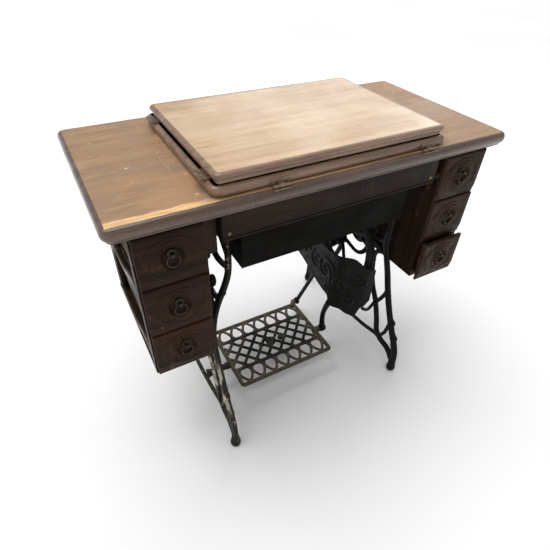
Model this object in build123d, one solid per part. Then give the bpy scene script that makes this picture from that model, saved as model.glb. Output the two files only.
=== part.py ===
"""Treadle sewing machine: a drop-head cabinet with six drawers on a cast-iron treadle stand.

Millimetres. +X is to the right along the table, +Y to the back, +Z up.
The origin is on the floor, under the middle of the table. The sewing head is stowed in its dust box.
"""
from build123d import *
import math
import os

# ---------------------------------------------------------------- driving dimensions
TABLE_HEIGHT = 775.0            # floor to the flat table surface
TABLE_HALF_LENGTH = 478.0       # flat surface, without the bullnose moulding
TABLE_HALF_DEPTH = 226.0
BULLNOSE = 11.0                 # how far the edge moulding stands out past the flat surface
TABLE_THICK = 25.0
MOULDING_THICK = 30.0

WELL_HALF_LENGTH = 235.0        # the opening that the sewing head rises through
WELL_FRONT = -168.0
WELL_BACK = 124.0

TIER_HALF_LENGTH = 288.0        # fixed lower tier under the lid
TIER_FRONT = -220.0
TIER_BACK = 195.0
TIER_TOP = 797.0
FLAP_LEFT = -240.0              # front flap, let into the lower tier
FLAP_BACK = -178.0
LID_HALF_LENGTH = 280.0
LID_FRONT = -216.0
LID_BACK = 186.0
LID_TOP = 820.0
LID_GROOVE = 3.0                # shadow gap under the lid's edge moulding
LID_BORDER = 10.0               # width of the lid's bullnose strip

LID_HINGE_X = -292.0
LID_HINGE_Z = 799.0
LID_HINGE_Y = (-160.0, 140.0)
FLAP_HINGE_Y = -229.5
FLAP_HINGE_Z = 778.8
FLAP_HINGE_X = (-150.0, 230.0)
HINGE_LENGTH = 42.0
KNUCKLE_RADIUS = 3.0
HINGE_PIN_RADIUS = 1.6
RUNNING_GAP = 0.05              # radial clearance of a turning or sliding fit
PART_GAP = 0.3                  # clearance between bodies that only pass each other

STACK_INNER = 306.0             # drawer stacks, distance from the middle of the table
STACK_OUTER = 445.0
STACK_BACK = 138.0
CASE_FRONT = -213.0
BOARD = 12.0                    # thickness of the case boards
DRAWER_LEVELS = (366.0, 490.0, 616.0, 738.0)
DRAWER_NAMES = ("bottom", "middle", "top")
DIVIDER_HALF = 4.0
FRONT_THICK = 12.0
FRONT_MARGIN = 1.0
TOE_SETBACK = 3.0               # the lower edge of each drawer front is set back
TOE_HEIGHT = 26.0
DRAWER_WALL = 8.0
DRAWER_FLOOR = 5.0
DRAWER_SIDE_GAP = 4.0
DRAWER_BACK_GAP = 11.0
DISH_RADIUS = 24.0              # turned recess behind each drop ring
DISH_DEPTH = 5.0
PULL_RING_RADIUS = 13.0
PULL_WIRE = 1.6
OPEN_DRAWER = 15.0              # the lower right drawer stands this far out

LEG_X = 287.0                   # plane of the side frames at the floor
LEG_TOP_X = 240.0               # plane of the side frames under the table
LEAN_BOTTOM = 340.0             # the frames lean inwards between these two heights
LEAN_TOP = 550.0
CAST_THICK = 16.0               # casting thickness of the side frames, along X
MAIN_BAR = 19.0                 # widths of the frame's bars
INNER_BAR = 15.0
STRUT = 12.0
FOOT_Y = 260.0
FOOT_RADIUS = 16.0
FOOT_CENTRE_Z = 14.0

BOX_HALF_LENGTH = 225.0         # dust box under the well
BOX_FRONT = -200.0
BOX_BACK = 156.0
BOX_BOTTOM = 582.0
BOX_WALL = 6.0

TREADLE_LEFT = -205.0
TREADLE_RIGHT = 125.0
TREADLE_FRONT = -137.0
TREADLE_BACK = 110.0
TREADLE_Z = 60.0
TREADLE_THICK = 12.0
TREADLE_AXIS_Y = -40.0
EAR = (148.0, 128.0, 48.0)      # ball joint on the treadle's right rear corner
TRUNNION_RADIUS = 4.0

WHEEL_X = 210.0
WHEEL_CENTRE = (8.0, 400.0)     # y, z of the flywheel axle
WHEEL_RADIUS = 155.0
WHEEL_HALF_WIDTH = 11.0
AXLE_RADIUS = 8.0
AXLE_LEFT = 158.0               # ends of the crankshaft, along X
AXLE_RIGHT = 228.0
BRACKET_X = (172.0, 189.0)      # bearing bracket between the crank and the flywheel
BRACKET_ARM_Z = 572.0
CRANK_PIN = (-19.0, 372.0)      # y, z
CRANK_PIN_RADIUS = 5.5
PITMAN_X = 148.0
PITMAN_THICK = 11.0
PITMAN_ROD_RADIUS = 4.6
GUARD_X = 138.0
GUARD_THICK = 6.0
GUARD_FRONT = -160.0            # y of the guard's front stretch, ahead of the flywheel
GUARD_END_X = 218.0

HEAD_AXIS = (112.0, 766.0)      # y, z of the hinge at the back of the head
BED_HALF_LENGTH = 185.0
BED_FRONT = -60.0
BED_BACK = 102.0
BED_THICK = 18.0
HANDWHEEL_CENTRE = (20.0, 940.0)   # y, z with the head raised
HANDWHEEL_RADIUS = 65.0

UNDERSIDE = TABLE_HEIGHT - TABLE_THICK
parts = {}


# ---------------------------------------------------------------- helpers
def block(x0, x1, y0, y1, z0, z1):
    """A plain board between two corners."""
    centre = ((x0 + x1) / 2, (y0 + y1) / 2, (z0 + z1) / 2)
    return Pos(*centre) * Box(x1 - x0, y1 - y0, z1 - z0)


def rod_x(x0, x1, y, z, radius):
    return Pos((x0 + x1) / 2, y, z) * Rot(0, 90, 0) * Cylinder(radius, x1 - x0)


def rod_y(y0, y1, x, z, radius):
    return Pos(x, (y0 + y1) / 2, z) * Rot(90, 0, 0) * Cylinder(radius, y1 - y0)


def rod_z(z0, z1, x, y, radius):
    return Pos(x, y, (z0 + z1) / 2) * Cylinder(radius, z1 - z0)


def rod_between(start, end, radius):
    """A round bar from one point to another."""
    axis = Vector(*end) - Vector(*start)
    return Plane(origin=start, z_dir=axis) * extrude(Circle(radius), axis.length)


def mirrored(shape):
    return mirror(shape, about=Plane.YZ)


def slab(face, x, thickness):
    """Extrude a (y, z) outline to both sides of the plane at x."""
    return extrude(Plane.YZ.offset(x) * face, thickness / 2, both=True)


def strip(points, width, radius=18.0):
    """A flat bar outline along a run of points, with round ends."""
    if len(points) > 2:
        line = FilletPolyline(*points, radius=radius)
    else:
        line = Line(*points)
    outline = trace(line, line_width=width)
    for end in (points[0], points[-1]):
        outline += Pos(*end) * Circle(width / 2)
    return outline


def both_ways(points):
    """The same run of points at the front and, mirrored, at the back."""
    return [points, [(-y, z) for y, z in points]]


def rounded_ring(x0, x1, y0, y1, z0, z1, border, corner, nose):
    """A rectangular moulding strip around a panel, its outer edges rounded off."""
    width = x1 - x0
    depth = y1 - y0
    outer = Pos((x0 + x1) / 2, (y0 + y1) / 2) * RectangleRounded(width, depth, corner)
    inner = Pos((x0 + x1) / 2, (y0 + y1) / 2) * Rectangle(width - 2 * border, depth - 2 * border)
    body = Pos(0, 0, z0) * extrude(outer, z1 - z0)
    rims = body.faces().filter_by(Axis.Z).edges()
    return fillet(rims, nose) - Pos(0, 0, z0 - 1) * extrude(inner, z1 - z0 + 2)


# ---------------------------------------------------------------- table, lid and flap
def hinge_knuckles(axis_at, centre, along, moving):
    """Barrel pieces of one hinge: two outer ones are fixed, the middle one moves."""
    third = HINGE_LENGTH / 3
    if moving:
        spans = [(centre - third / 2 + PART_GAP, centre + third / 2 - PART_GAP)]
        bore = HINGE_PIN_RADIUS + RUNNING_GAP
    else:
        spans = [(centre - 1.5 * third, centre - third / 2), (centre + third / 2, centre + 1.5 * third)]
        bore = HINGE_PIN_RADIUS
    rod = rod_x if along == "x" else rod_y
    pieces = []
    for start, end in spans:
        barrel = rod(start, end, *axis_at, KNUCKLE_RADIUS) - rod(start - 1, end + 1, *axis_at, bore)
        pieces.append((barrel, start, end))
    return pieces


def make_table():
    board = block(-TABLE_HALF_LENGTH, TABLE_HALF_LENGTH, -TABLE_HALF_DEPTH, TABLE_HALF_DEPTH,
                  UNDERSIDE, TABLE_HEIGHT)
    well = block(-WELL_HALF_LENGTH, WELL_HALF_LENGTH, WELL_FRONT, WELL_BACK,
                 UNDERSIDE - 1, TABLE_HEIGHT + 1)
    edge_x = TABLE_HALF_LENGTH + BULLNOSE
    edge_y = TABLE_HALF_DEPTH + BULLNOSE
    moulding = rounded_ring(-edge_x, edge_x, -edge_y, edge_y, TABLE_HEIGHT - MOULDING_THICK,
                            TABLE_HEIGHT, BULLNOSE, 20.0, 9.5)
    for x in FLAP_HINGE_X:
        half = HINGE_LENGTH / 2 + 1
        seat = block(x - half, x + half, -edge_y - 1, -TABLE_HALF_DEPTH, 773.0, TABLE_HEIGHT + 1)
        moulding -= seat
    parts["table_top"] = board - well
    parts["top_edge_moulding"] = moulding


def make_lower_tier():
    """The fixed raised border around the well and the flap that is let into its front."""
    solid = Pos(0, 0, TABLE_HEIGHT) * extrude(
        Pos(0, (TIER_FRONT + TIER_BACK) / 2)
        * RectangleRounded(2 * TIER_HALF_LENGTH, TIER_BACK - TIER_FRONT, 22.0), TIER_TOP - TABLE_HEIGHT)
    solid = fillet(solid.faces().filter_by(Axis.Z).edges(), 9.0)
    well = block(-WELL_HALF_LENGTH, WELL_HALF_LENGTH, WELL_FRONT, WELL_BACK,
                 TABLE_HEIGHT - 1, TIER_TOP + 1)
    far = TIER_HALF_LENGTH + 10
    flap_room = block(FLAP_LEFT, far, TIER_FRONT - 10, FLAP_BACK, TABLE_HEIGHT - 1, TIER_TOP + 1)
    flap_zone = block(FLAP_LEFT + PART_GAP, far, TIER_FRONT - 10, FLAP_BACK - PART_GAP,
                      TABLE_HEIGHT + PART_GAP, TIER_TOP - PART_GAP)
    parts["lid_border"] = solid - well - flap_room
    parts["front_flap"] = solid & flap_zone


def make_lid():
    under = TIER_TOP + LID_GROOVE
    panel = block(-LID_HALF_LENGTH + LID_BORDER, LID_HALF_LENGTH - LID_BORDER,
                  LID_FRONT + LID_BORDER, LID_BACK - LID_BORDER, TIER_TOP + PART_GAP, LID_TOP)
    groove_x = -TIER_HALF_LENGTH + 27
    for y in LID_HINGE_Y:
        half = HINGE_LENGTH / 2 + 1
        panel -= block(-TIER_HALF_LENGTH, groove_x, y - half, y + half, TIER_TOP, under)
    parts["lid_panel"] = panel
    parts["lid_edge_moulding"] = rounded_ring(
        -LID_HALF_LENGTH, LID_HALF_LENGTH, LID_FRONT, LID_BACK, under, LID_TOP, LID_BORDER, 16.0, 9.0)


def make_hinges():
    """Butt hinges of the lid and the flap, with their pins."""
    fixed = []
    lid_leaves = []
    flap_leaves = []
    pins = []
    half = HINGE_LENGTH / 2
    clear = KNUCKLE_RADIUS + 0.5
    leaf_end = -TIER_HALF_LENGTH + 26
    at = (LID_HINGE_X, LID_HINGE_Z)
    low = (TIER_TOP, TIER_TOP + 1.1)
    high = (TIER_TOP + 1.4, TIER_TOP + LID_GROOVE)
    for y in LID_HINGE_Y:
        pins.append(rod_y(y - half, y + half, *at, HINGE_PIN_RADIUS))
        bore = rod_y(y - half, y + half, *at, HINGE_PIN_RADIUS + RUNNING_GAP)
        leaf = block(LID_HINGE_X + clear, leaf_end, y - half, y + half, *low)
        for barrel, start, end in hinge_knuckles(at, y, "y", False):
            leaf += barrel
            leaf += block(LID_HINGE_X, LID_HINGE_X + clear + 1, start, end, *low) - bore
        fixed.append(leaf)
        leaf = block(LID_HINGE_X + clear, leaf_end, y - half, y + half, *high)
        for barrel, start, end in hinge_knuckles(at, y, "y", True):
            leaf += barrel
            leaf += block(LID_HINGE_X, LID_HINGE_X + clear + 1, start, end, *high) - bore
        lid_leaves.append(leaf)
    at = (FLAP_HINGE_Y, FLAP_HINGE_Z)
    for x in FLAP_HINGE_X:
        pins.append(rod_x(x - half, x + half, *at, HINGE_PIN_RADIUS))
        bore = rod_x(x - half, x + half, *at, HINGE_PIN_RADIUS + RUNNING_GAP)
        leaf = block(x - half, x + half, -236.0, -TABLE_HALF_DEPTH, 773.0, 774.6)
        for barrel, start, end in hinge_knuckles(at, x, "x", False):
            leaf += barrel
            web = block(start, end, FLAP_HINGE_Y - 1, FLAP_HINGE_Y + 1, 774.0, FLAP_HINGE_Z)
            leaf += web - bore
        fixed.append(leaf)
        leaf = block(x - half, x + half, TIER_FRONT - 1.2, TIER_FRONT, 777.5, 791.0)
        for barrel, start, end in hinge_knuckles(at, x, "x", True):
            arm = block(start, end, FLAP_HINGE_Y, TIER_FRONT - 0.6, FLAP_HINGE_Z + 1.4, FLAP_HINGE_Z + 2.6)
            leaf += barrel
            leaf += arm - bore
        flap_leaves.append(leaf)
    parts["fixed_hinge_leaves"] = Compound(children=fixed)
    parts["lid_hinge_leaves"] = Compound(children=lid_leaves)
    parts["flap_hinge_leaves"] = Compound(children=flap_leaves)
    parts["hinge_pins"] = Compound(children=pins)


# ---------------------------------------------------------------- drawer stacks
def make_outer_side():
    """Open-work outer side of a stack: two large rounded openings show the drawers."""
    board = block(STACK_OUTER - BOARD, STACK_OUTER, CASE_FRONT, STACK_BACK - BOARD,
                  DRAWER_LEVELS[0], UNDERSIDE)
    for low, high in ((384.0, 530.0), (556.0, 706.0)):
        opening = Pos(-38.0, (low + high) / 2) * RectangleRounded(270.0, high - low, 45.0)
        board -= slab(opening, STACK_OUTER - BOARD / 2, BOARD + 2)
    return board


def make_cases():
    bottom = DRAWER_LEVELS[0]
    outer = make_outer_side()
    inner = block(STACK_INNER, STACK_INNER + BOARD, CASE_FRONT, STACK_BACK - BOARD, bottom, UNDERSIDE)
    back = block(STACK_INNER, STACK_OUTER, STACK_BACK - BOARD, STACK_BACK, bottom, UNDERSIDE)
    shelves = [block(STACK_INNER + BOARD, STACK_OUTER - BOARD, CASE_FRONT, STACK_BACK - BOARD,
                     bottom, bottom + 10)]
    for level in DRAWER_LEVELS[1:3]:
        shelves.append(block(STACK_INNER + BOARD, STACK_OUTER - BOARD, CASE_FRONT, STACK_BACK - BOARD,
                             level - DIVIDER_HALF, level + DIVIDER_HALF))
    parts["right_case_outer_side"] = outer
    parts["left_case_outer_side"] = mirrored(outer)
    parts["case_inner_sides"] = Compound(children=[inner, mirrored(inner)])
    parts["case_backs"] = Compound(children=[back, mirrored(back)])
    parts["case_shelves"] = Compound(children=shelves + [mirrored(shelf) for shelf in shelves])


def drawer_pieces(level):
    """One right-hand drawer: its box, carved front, pull boss and drop ring."""
    low = DRAWER_LEVELS[level]
    high = DRAWER_LEVELS[level + 1]
    shelf = low + (10.0 if level == 0 else DIVIDER_HALF)
    x0 = STACK_INNER + BOARD + DRAWER_SIDE_GAP
    x1 = STACK_OUTER - BOARD - DRAWER_SIDE_GAP
    y1 = STACK_BACK - BOARD - DRAWER_BACK_GAP
    z0 = shelf + PART_GAP
    z1 = high - 10.0
    box = block(x0, x1, CASE_FRONT, y1, z0, z1)
    box -= block(x0 + DRAWER_WALL, x1 - DRAWER_WALL, CASE_FRONT + DRAWER_WALL, y1 - DRAWER_WALL,
                 z0 + DRAWER_FLOOR, z1 + 1)
    face = CASE_FRONT - FRONT_THICK
    middle_x = (STACK_INNER + STACK_OUTER) / 2
    middle_z = (low + high) / 2 + 4
    front = block(STACK_INNER + FRONT_MARGIN, STACK_OUTER - FRONT_MARGIN, face, CASE_FRONT - PART_GAP,
                  low + FRONT_MARGIN, high - FRONT_MARGIN)
    front -= block(STACK_INNER, STACK_OUTER, face - 1, face + TOE_SETBACK, low, low + TOE_HEIGHT)
    front += block(x0 + 10, x1 - 10, CASE_FRONT - PART_GAP, CASE_FRONT, z0 + 5, z1 - 5)
    front -= rod_y(face - 1, face + DISH_DEPTH, middle_x, middle_z, DISH_RADIUS)
    dish = face + DISH_DEPTH
    ring_y = face - 4.0
    ring_top = middle_z + 8.0
    boss = rod_y(face - 0.5, dish, middle_x, ring_top, 8.0)
    boss += rod_y(ring_y - 3.5, face - 0.5, middle_x, ring_top, 3.4)
    boss -= rod_x(middle_x - 5, middle_x + 5, ring_y, ring_top, 2.4)
    ring = Pos(middle_x, ring_y, ring_top - PULL_RING_RADIUS) * Rot(90, 0, 0) * Torus(
        PULL_RING_RADIUS, PULL_WIRE)
    return {"drawer_box": box, "drawer_front": front, "pull_boss": boss, "pull_ring": ring}


def make_drawers():
    for level, name in enumerate(DRAWER_NAMES):
        for kind, shape in drawer_pieces(level).items():
            out = -OPEN_DRAWER if name == "bottom" else 0.0
            parts["right_" + name + "_" + kind] = Pos(0, out, 0) * shape
            parts["left_" + name + "_" + kind] = mirrored(shape)


# ---------------------------------------------------------------- boards under the table
def make_under_table():
    parts["front_apron"] = block(-275.0, 275.0, -226.0, -214.0, 684.0, UNDERSIDE - 5) + block(
        -275.0, 275.0, -TABLE_HALF_DEPTH, -214.0, UNDERSIDE - 5, UNDERSIDE)
    post = block(280.0, 302.0, -206.0, -186.0, 650.0, UNDERSIDE)
    rail = block(-300.0, 300.0, 190.0, 204.0, 690.0, UNDERSIDE)
    parts["under_rails"] = Compound(children=[post, mirrored(post), rail])
    outside = block(-BOX_HALF_LENGTH, BOX_HALF_LENGTH, BOX_FRONT, BOX_BACK, BOX_BOTTOM, UNDERSIDE)
    inside = block(-BOX_HALF_LENGTH + BOX_WALL, BOX_HALF_LENGTH - BOX_WALL, BOX_FRONT + BOX_WALL,
                   BOX_BACK - BOX_WALL, BOX_BOTTOM + BOX_WALL, UNDERSIDE + 1)
    parts["dust_box"] = outside - inside


# ---------------------------------------------------------------- cast-iron stand
def lean_plane():
    """The tilted plane that the middle of the right side frame lies in."""
    lean = math.atan2(LEG_X - LEG_TOP_X, LEAN_TOP - LEAN_BOTTOM)
    return Plane(origin=(LEG_X, 0, LEAN_BOTTOM), x_dir=(0, 1, 0),
                 z_dir=(math.cos(lean), 0, math.sin(lean))), math.cos(lean)


def lower_bars():
    outer = [(-260, 14), (-253, 88), (-221, 151), (-191, 215), (-165, 281), (-147, 344)]
    inner = [(-166, 80), (-150, 140), (-128, 200), (-100, 250), (-84, 300), (-82, 344)]
    bars = [(both_ways(outer), MAIN_BAR), (both_ways(inner), INNER_BAR)]
    bars.append((both_ways([(-178, 80), (-207, 166)]), STRUT))
    bars.append((both_ways([(-128, 200), (-162, 276)]), STRUT))
    stretcher = [(-250, 36), (-210, 66), (-165, 78), (-90, 62), (0, 52), (90, 62), (165, 78), (210, 66),
                 (250, 36)]
    bars.append(([stretcher], INNER_BAR))
    return bars


def middle_bars():
    bars = [(both_ways([(-147, 336), (-138, 395), (-139, 445), (-150, 500), (-160, 554)]), MAIN_BAR)]
    bars.append((both_ways([(-82, 336), (-90, 372), (-134, 410)]), INNER_BAR))
    bars.append((both_ways([(-152, 484), (-110, 452), (-64, 462), (-23, 504), (0, 534)]), STRUT))
    return bars


def upper_bars():
    bars = [(both_ways([(-160, 546), (-160, 744)]), MAIN_BAR)]
    bars.append(([[(0, 530), (0, 744)]], STRUT))
    return bars


def make_side_frame():
    """Right side frame, built in three flat stretches: upright, leaning inwards, upright."""
    frame = None
    for runs, width in lower_bars():
        for run in runs:
            bar = slab(strip(run, width), LEG_X, CAST_THICK)
            frame = bar if frame is None else frame + bar
    plane, slope = lean_plane()
    for runs, width in middle_bars():
        for run in runs:
            flat = [(y, (z - LEAN_BOTTOM) / slope) for y, z in run]
            frame += extrude(plane * strip(flat, width), CAST_THICK / 2, both=True)
    for runs, width in upper_bars():
        for run in runs:
            frame += slab(strip(run, width), LEG_TOP_X, CAST_THICK)
    frame += block(LEG_TOP_X - 14, LEG_TOP_X + 14, -186, 186, 742, UNDERSIDE)
    for y in (-FOOT_Y, FOOT_Y):
        frame += Pos(LEG_X, y, FOOT_CENTRE_Z) * Sphere(FOOT_RADIUS)
    return frame - block(0, 400, -400, 400, -50, 0) - block(0, 400, -400, 400, UNDERSIDE, 900)


def make_stand():
    frame = make_side_frame()
    parts["right_side_frame"] = frame
    parts["left_side_frame"] = mirrored(frame)
    inside = LEG_TOP_X - CAST_THICK / 2
    brace = None
    for z in (625.0, 715.0):
        bar = block(-inside, inside, 158.0, 168.0, z - 6, z + 6)
        brace = bar if brace is None else brace + bar
    for side in (1, -1):
        diagonal = trace(Line((-inside + 12, 670 - 40 * side), (inside - 12, 670 + 40 * side)), line_width=10)
        brace += extrude(Plane.XZ.offset(-163.0) * diagonal, 4.0, both=True)
    brace += rod_y(159.0, 167.0, 0, 670.0, 30.0)
    parts["rear_brace"] = brace
    screws = []
    for y in (-177.0, -60.0, 60.0, 177.0):
        for side in (1, -1):
            screws.append(rod_z(738.5, 742.0, side * LEG_TOP_X + side * 9, y, 4.5))
    parts["stand_screws"] = Compound(children=screws)


def make_wheel_bracket():
    """Bearing arm that hangs from the right side frame, over the top of the flywheel."""
    y, z = WHEEL_CENTRE
    x0, x1 = BRACKET_X
    top = BRACKET_ARM_Z + 7
    bracket = block(x0, x1, y - 14, y + 14, z, top)
    bracket += rod_x(x0, x1, y, z, 22)
    bracket += block(x0, LEG_TOP_X - CAST_THICK / 2, -12, 12, BRACKET_ARM_Z - 6, top)
    return bracket - rod_x(x0 - 1, x1 + 1, y, z, AXLE_RADIUS + RUNNING_GAP)


def make_dress_guard():
    """Cast guard that wraps the left and front of the flywheel, with its stays to the right frame."""
    plan = FilletPolyline((GUARD_X, 152), (GUARD_X, -92), (198, GUARD_FRONT), (GUARD_END_X, GUARD_FRONT),
                          radius=24)
    band = Pos(0, 0, 150) * extrude(trace(plan, line_width=GUARD_THICK), 300)
    side = make_face(Polyline((156, 296), (-60, 238), (-68, 206), (-110, 214), (-140, 196), (-170, 210),
                              (-170, 392), (-128, 412), (-60, 402), (156, 396), close=True))
    guard = band & extrude(Plane.YZ * side, 400)
    guard -= block(GUARD_END_X - 12, GUARD_END_X + 12, GUARD_FRONT - 20, GUARD_FRONT + 20, 150, 250)
    inside = LEG_X - CAST_THICK / 2
    guard += rod_x(GUARD_X, inside, 150.0, 302.0, 6.0)
    guard += rod_between((202, GUARD_FRONT, 232), (inside, -128, 202), 5.0)
    return guard - block(inside, LEG_X, -200, 200, 100, 400)


def make_treadle_hangers(guard):
    """Left and right pivots of the treadle: a boss on the left frame and an arm from the guard."""
    bore = TRUNNION_RADIUS + RUNNING_GAP
    y, z = TREADLE_AXIS_Y, TREADLE_Z
    left = rod_x(-LEG_X + CAST_THICK / 2, TREADLE_LEFT - 1, y, z, 11)
    left -= rod_x(TREADLE_LEFT - 16, TREADLE_LEFT, y, z, bore)
    boss_x = TREADLE_RIGHT + 24
    right = rod_x(boss_x - 10, boss_x + 10, y, z, 12)
    route = [(boss_x, y, z + 6), (boss_x, y + 4, 112), (boss_x - 4, y - 10, 165), (GUARD_X, y - 32, 216)]
    for start, end in zip(route, route[1:]):
        right += rod_between(start, end, 6) + Pos(*end) * Sphere(6)
    right -= rod_x(boss_x - 12, boss_x + 4, y, z, bore)
    return left, right - guard


def treadle_holes():
    """Lattice of the treadle plate: staggered rows of ovals inside a plain rim."""
    holes = []
    columns = 9
    pitch = (TREADLE_RIGHT - TREADLE_LEFT - 44) / columns
    rows = 5
    row_pitch = (TREADLE_BACK - TREADLE_FRONT - 44) / rows
    for row in range(rows):
        count = columns if row % 2 == 0 else columns - 1
        first = TREADLE_LEFT + 22 + pitch * (0.5 if row % 2 == 0 else 1.0)
        for column in range(count):
            at = (first + pitch * column, TREADLE_FRONT + 22 + row_pitch * (row + 0.5))
            holes.append(Pos(*at) * Ellipse(pitch * 0.33, row_pitch * 0.42))
    return holes


def make_treadle():
    y, z = TREADLE_AXIS_Y, TREADLE_Z
    plate = Pos((TREADLE_LEFT + TREADLE_RIGHT) / 2, (TREADLE_FRONT + TREADLE_BACK) / 2) * RectangleRounded(
        TREADLE_RIGHT - TREADLE_LEFT, TREADLE_BACK - TREADLE_FRONT, 12)
    for hole in treadle_holes():
        plate -= hole
    treadle = Pos(0, 0, z - TREADLE_THICK / 2) * extrude(plate, TREADLE_THICK)
    treadle += rod_x(TREADLE_RIGHT - 12, TREADLE_RIGHT + 12, y, z, 9)
    treadle += rod_x(TREADLE_RIGHT, TREADLE_RIGHT + 26, y, z, TRUNNION_RADIUS)
    treadle += rod_x(TREADLE_LEFT - 14, TREADLE_LEFT + 10, y, z, TRUNNION_RADIUS)
    ear_x, ear_y, ear_z = EAR
    inner = PITMAN_X - PITMAN_THICK / 2 - 2
    ear = rod_between((TREADLE_RIGHT - 14, TREADLE_BACK - 12, z), (inner - 10, ear_y - 3, ear_z), 8)
    ear += rod_x(inner - 14, inner, ear_y, ear_z, 10)
    ear += rod_x(inner - 4, ear_x + 6, ear_y, ear_z, TRUNNION_RADIUS)
    parts["treadle_plate"] = treadle + ear


def make_pitman():
    """Rod from the treadle's ear up to the crank; its top eye stands just beside the crank pin."""
    ear_y, ear_z = EAR[1:]
    pin_y, pin_z = CRANK_PIN
    half = PITMAN_THICK / 2
    rod = rod_x(PITMAN_X - half, PITMAN_X + half, ear_y, ear_z, 10)
    rod += rod_x(PITMAN_X - half, PITMAN_X + half, pin_y, pin_z, 13)
    rod += rod_between((PITMAN_X, ear_y, ear_z), (PITMAN_X, pin_y, pin_z), PITMAN_ROD_RADIUS)
    rod -= rod_x(PITMAN_X - 9, PITMAN_X + 9, ear_y, ear_z, TRUNNION_RADIUS + RUNNING_GAP)
    rod -= rod_x(PITMAN_X - 9, PITMAN_X + 9, pin_y, pin_z, CRANK_PIN_RADIUS + 0.5)
    parts["pitman_rod"] = rod


def make_flywheel():
    """Rim with a belt groove and curved spokes, on a crankshaft that turns with it."""
    y, z = WHEEL_CENTRE
    rim = Circle(WHEEL_RADIUS) - Circle(WHEEL_RADIUS - 20)
    wheel = slab(Pos(y, z) * rim, WHEEL_X, 2 * WHEEL_HALF_WIDTH)
    wheel -= Pos(WHEEL_X, y, z) * Rot(0, 90, 0) * Torus(WHEEL_RADIUS + 1, 3.5)
    spokes = 6
    for index in range(spokes):
        turn = Pos(y, z) * Rot(0, 0, 360.0 / spokes * index + 157)
        curve = ThreePointArc((16, 0), (80, 22), (WHEEL_RADIUS - 12, 0))
        wheel += slab(turn * trace(curve, line_width=12), WHEEL_X, 12)
    wheel += rod_x(196.0, AXLE_RIGHT - 5, y, z, 24)
    parts["flywheel"] = wheel - rod_x(190.0, AXLE_RIGHT, y, z, AXLE_RADIUS)
    pin_y, pin_z = CRANK_PIN
    web_x = AXLE_LEFT + 4
    shaft = rod_x(AXLE_LEFT, AXLE_RIGHT, y, z, AXLE_RADIUS)
    shaft += rod_x(AXLE_RIGHT - 4, AXLE_RIGHT, y, z, 12)
    shaft += rod_x(AXLE_LEFT, AXLE_LEFT + 9, y, z, 15) + rod_x(AXLE_LEFT, AXLE_LEFT + 9, pin_y, pin_z, 11)
    web = trace(Line((y, z), (pin_y, pin_z)), line_width=18)
    shaft += slab(web, web_x, 8)
    shaft += rod_x(PITMAN_X + PITMAN_THICK / 2 + 1, AXLE_LEFT + 2, pin_y, pin_z, CRANK_PIN_RADIUS)
    parts["crankshaft"] = shaft


# ---------------------------------------------------------------- sewing head
def stow(shape):
    """Swing a piece of the raised head down about the rear hinge into the dust box."""
    y, z = HEAD_AXIS
    return Pos(0, y, z) * Rot(90, 0, 0) * Pos(0, -y, -z) * shape


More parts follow.
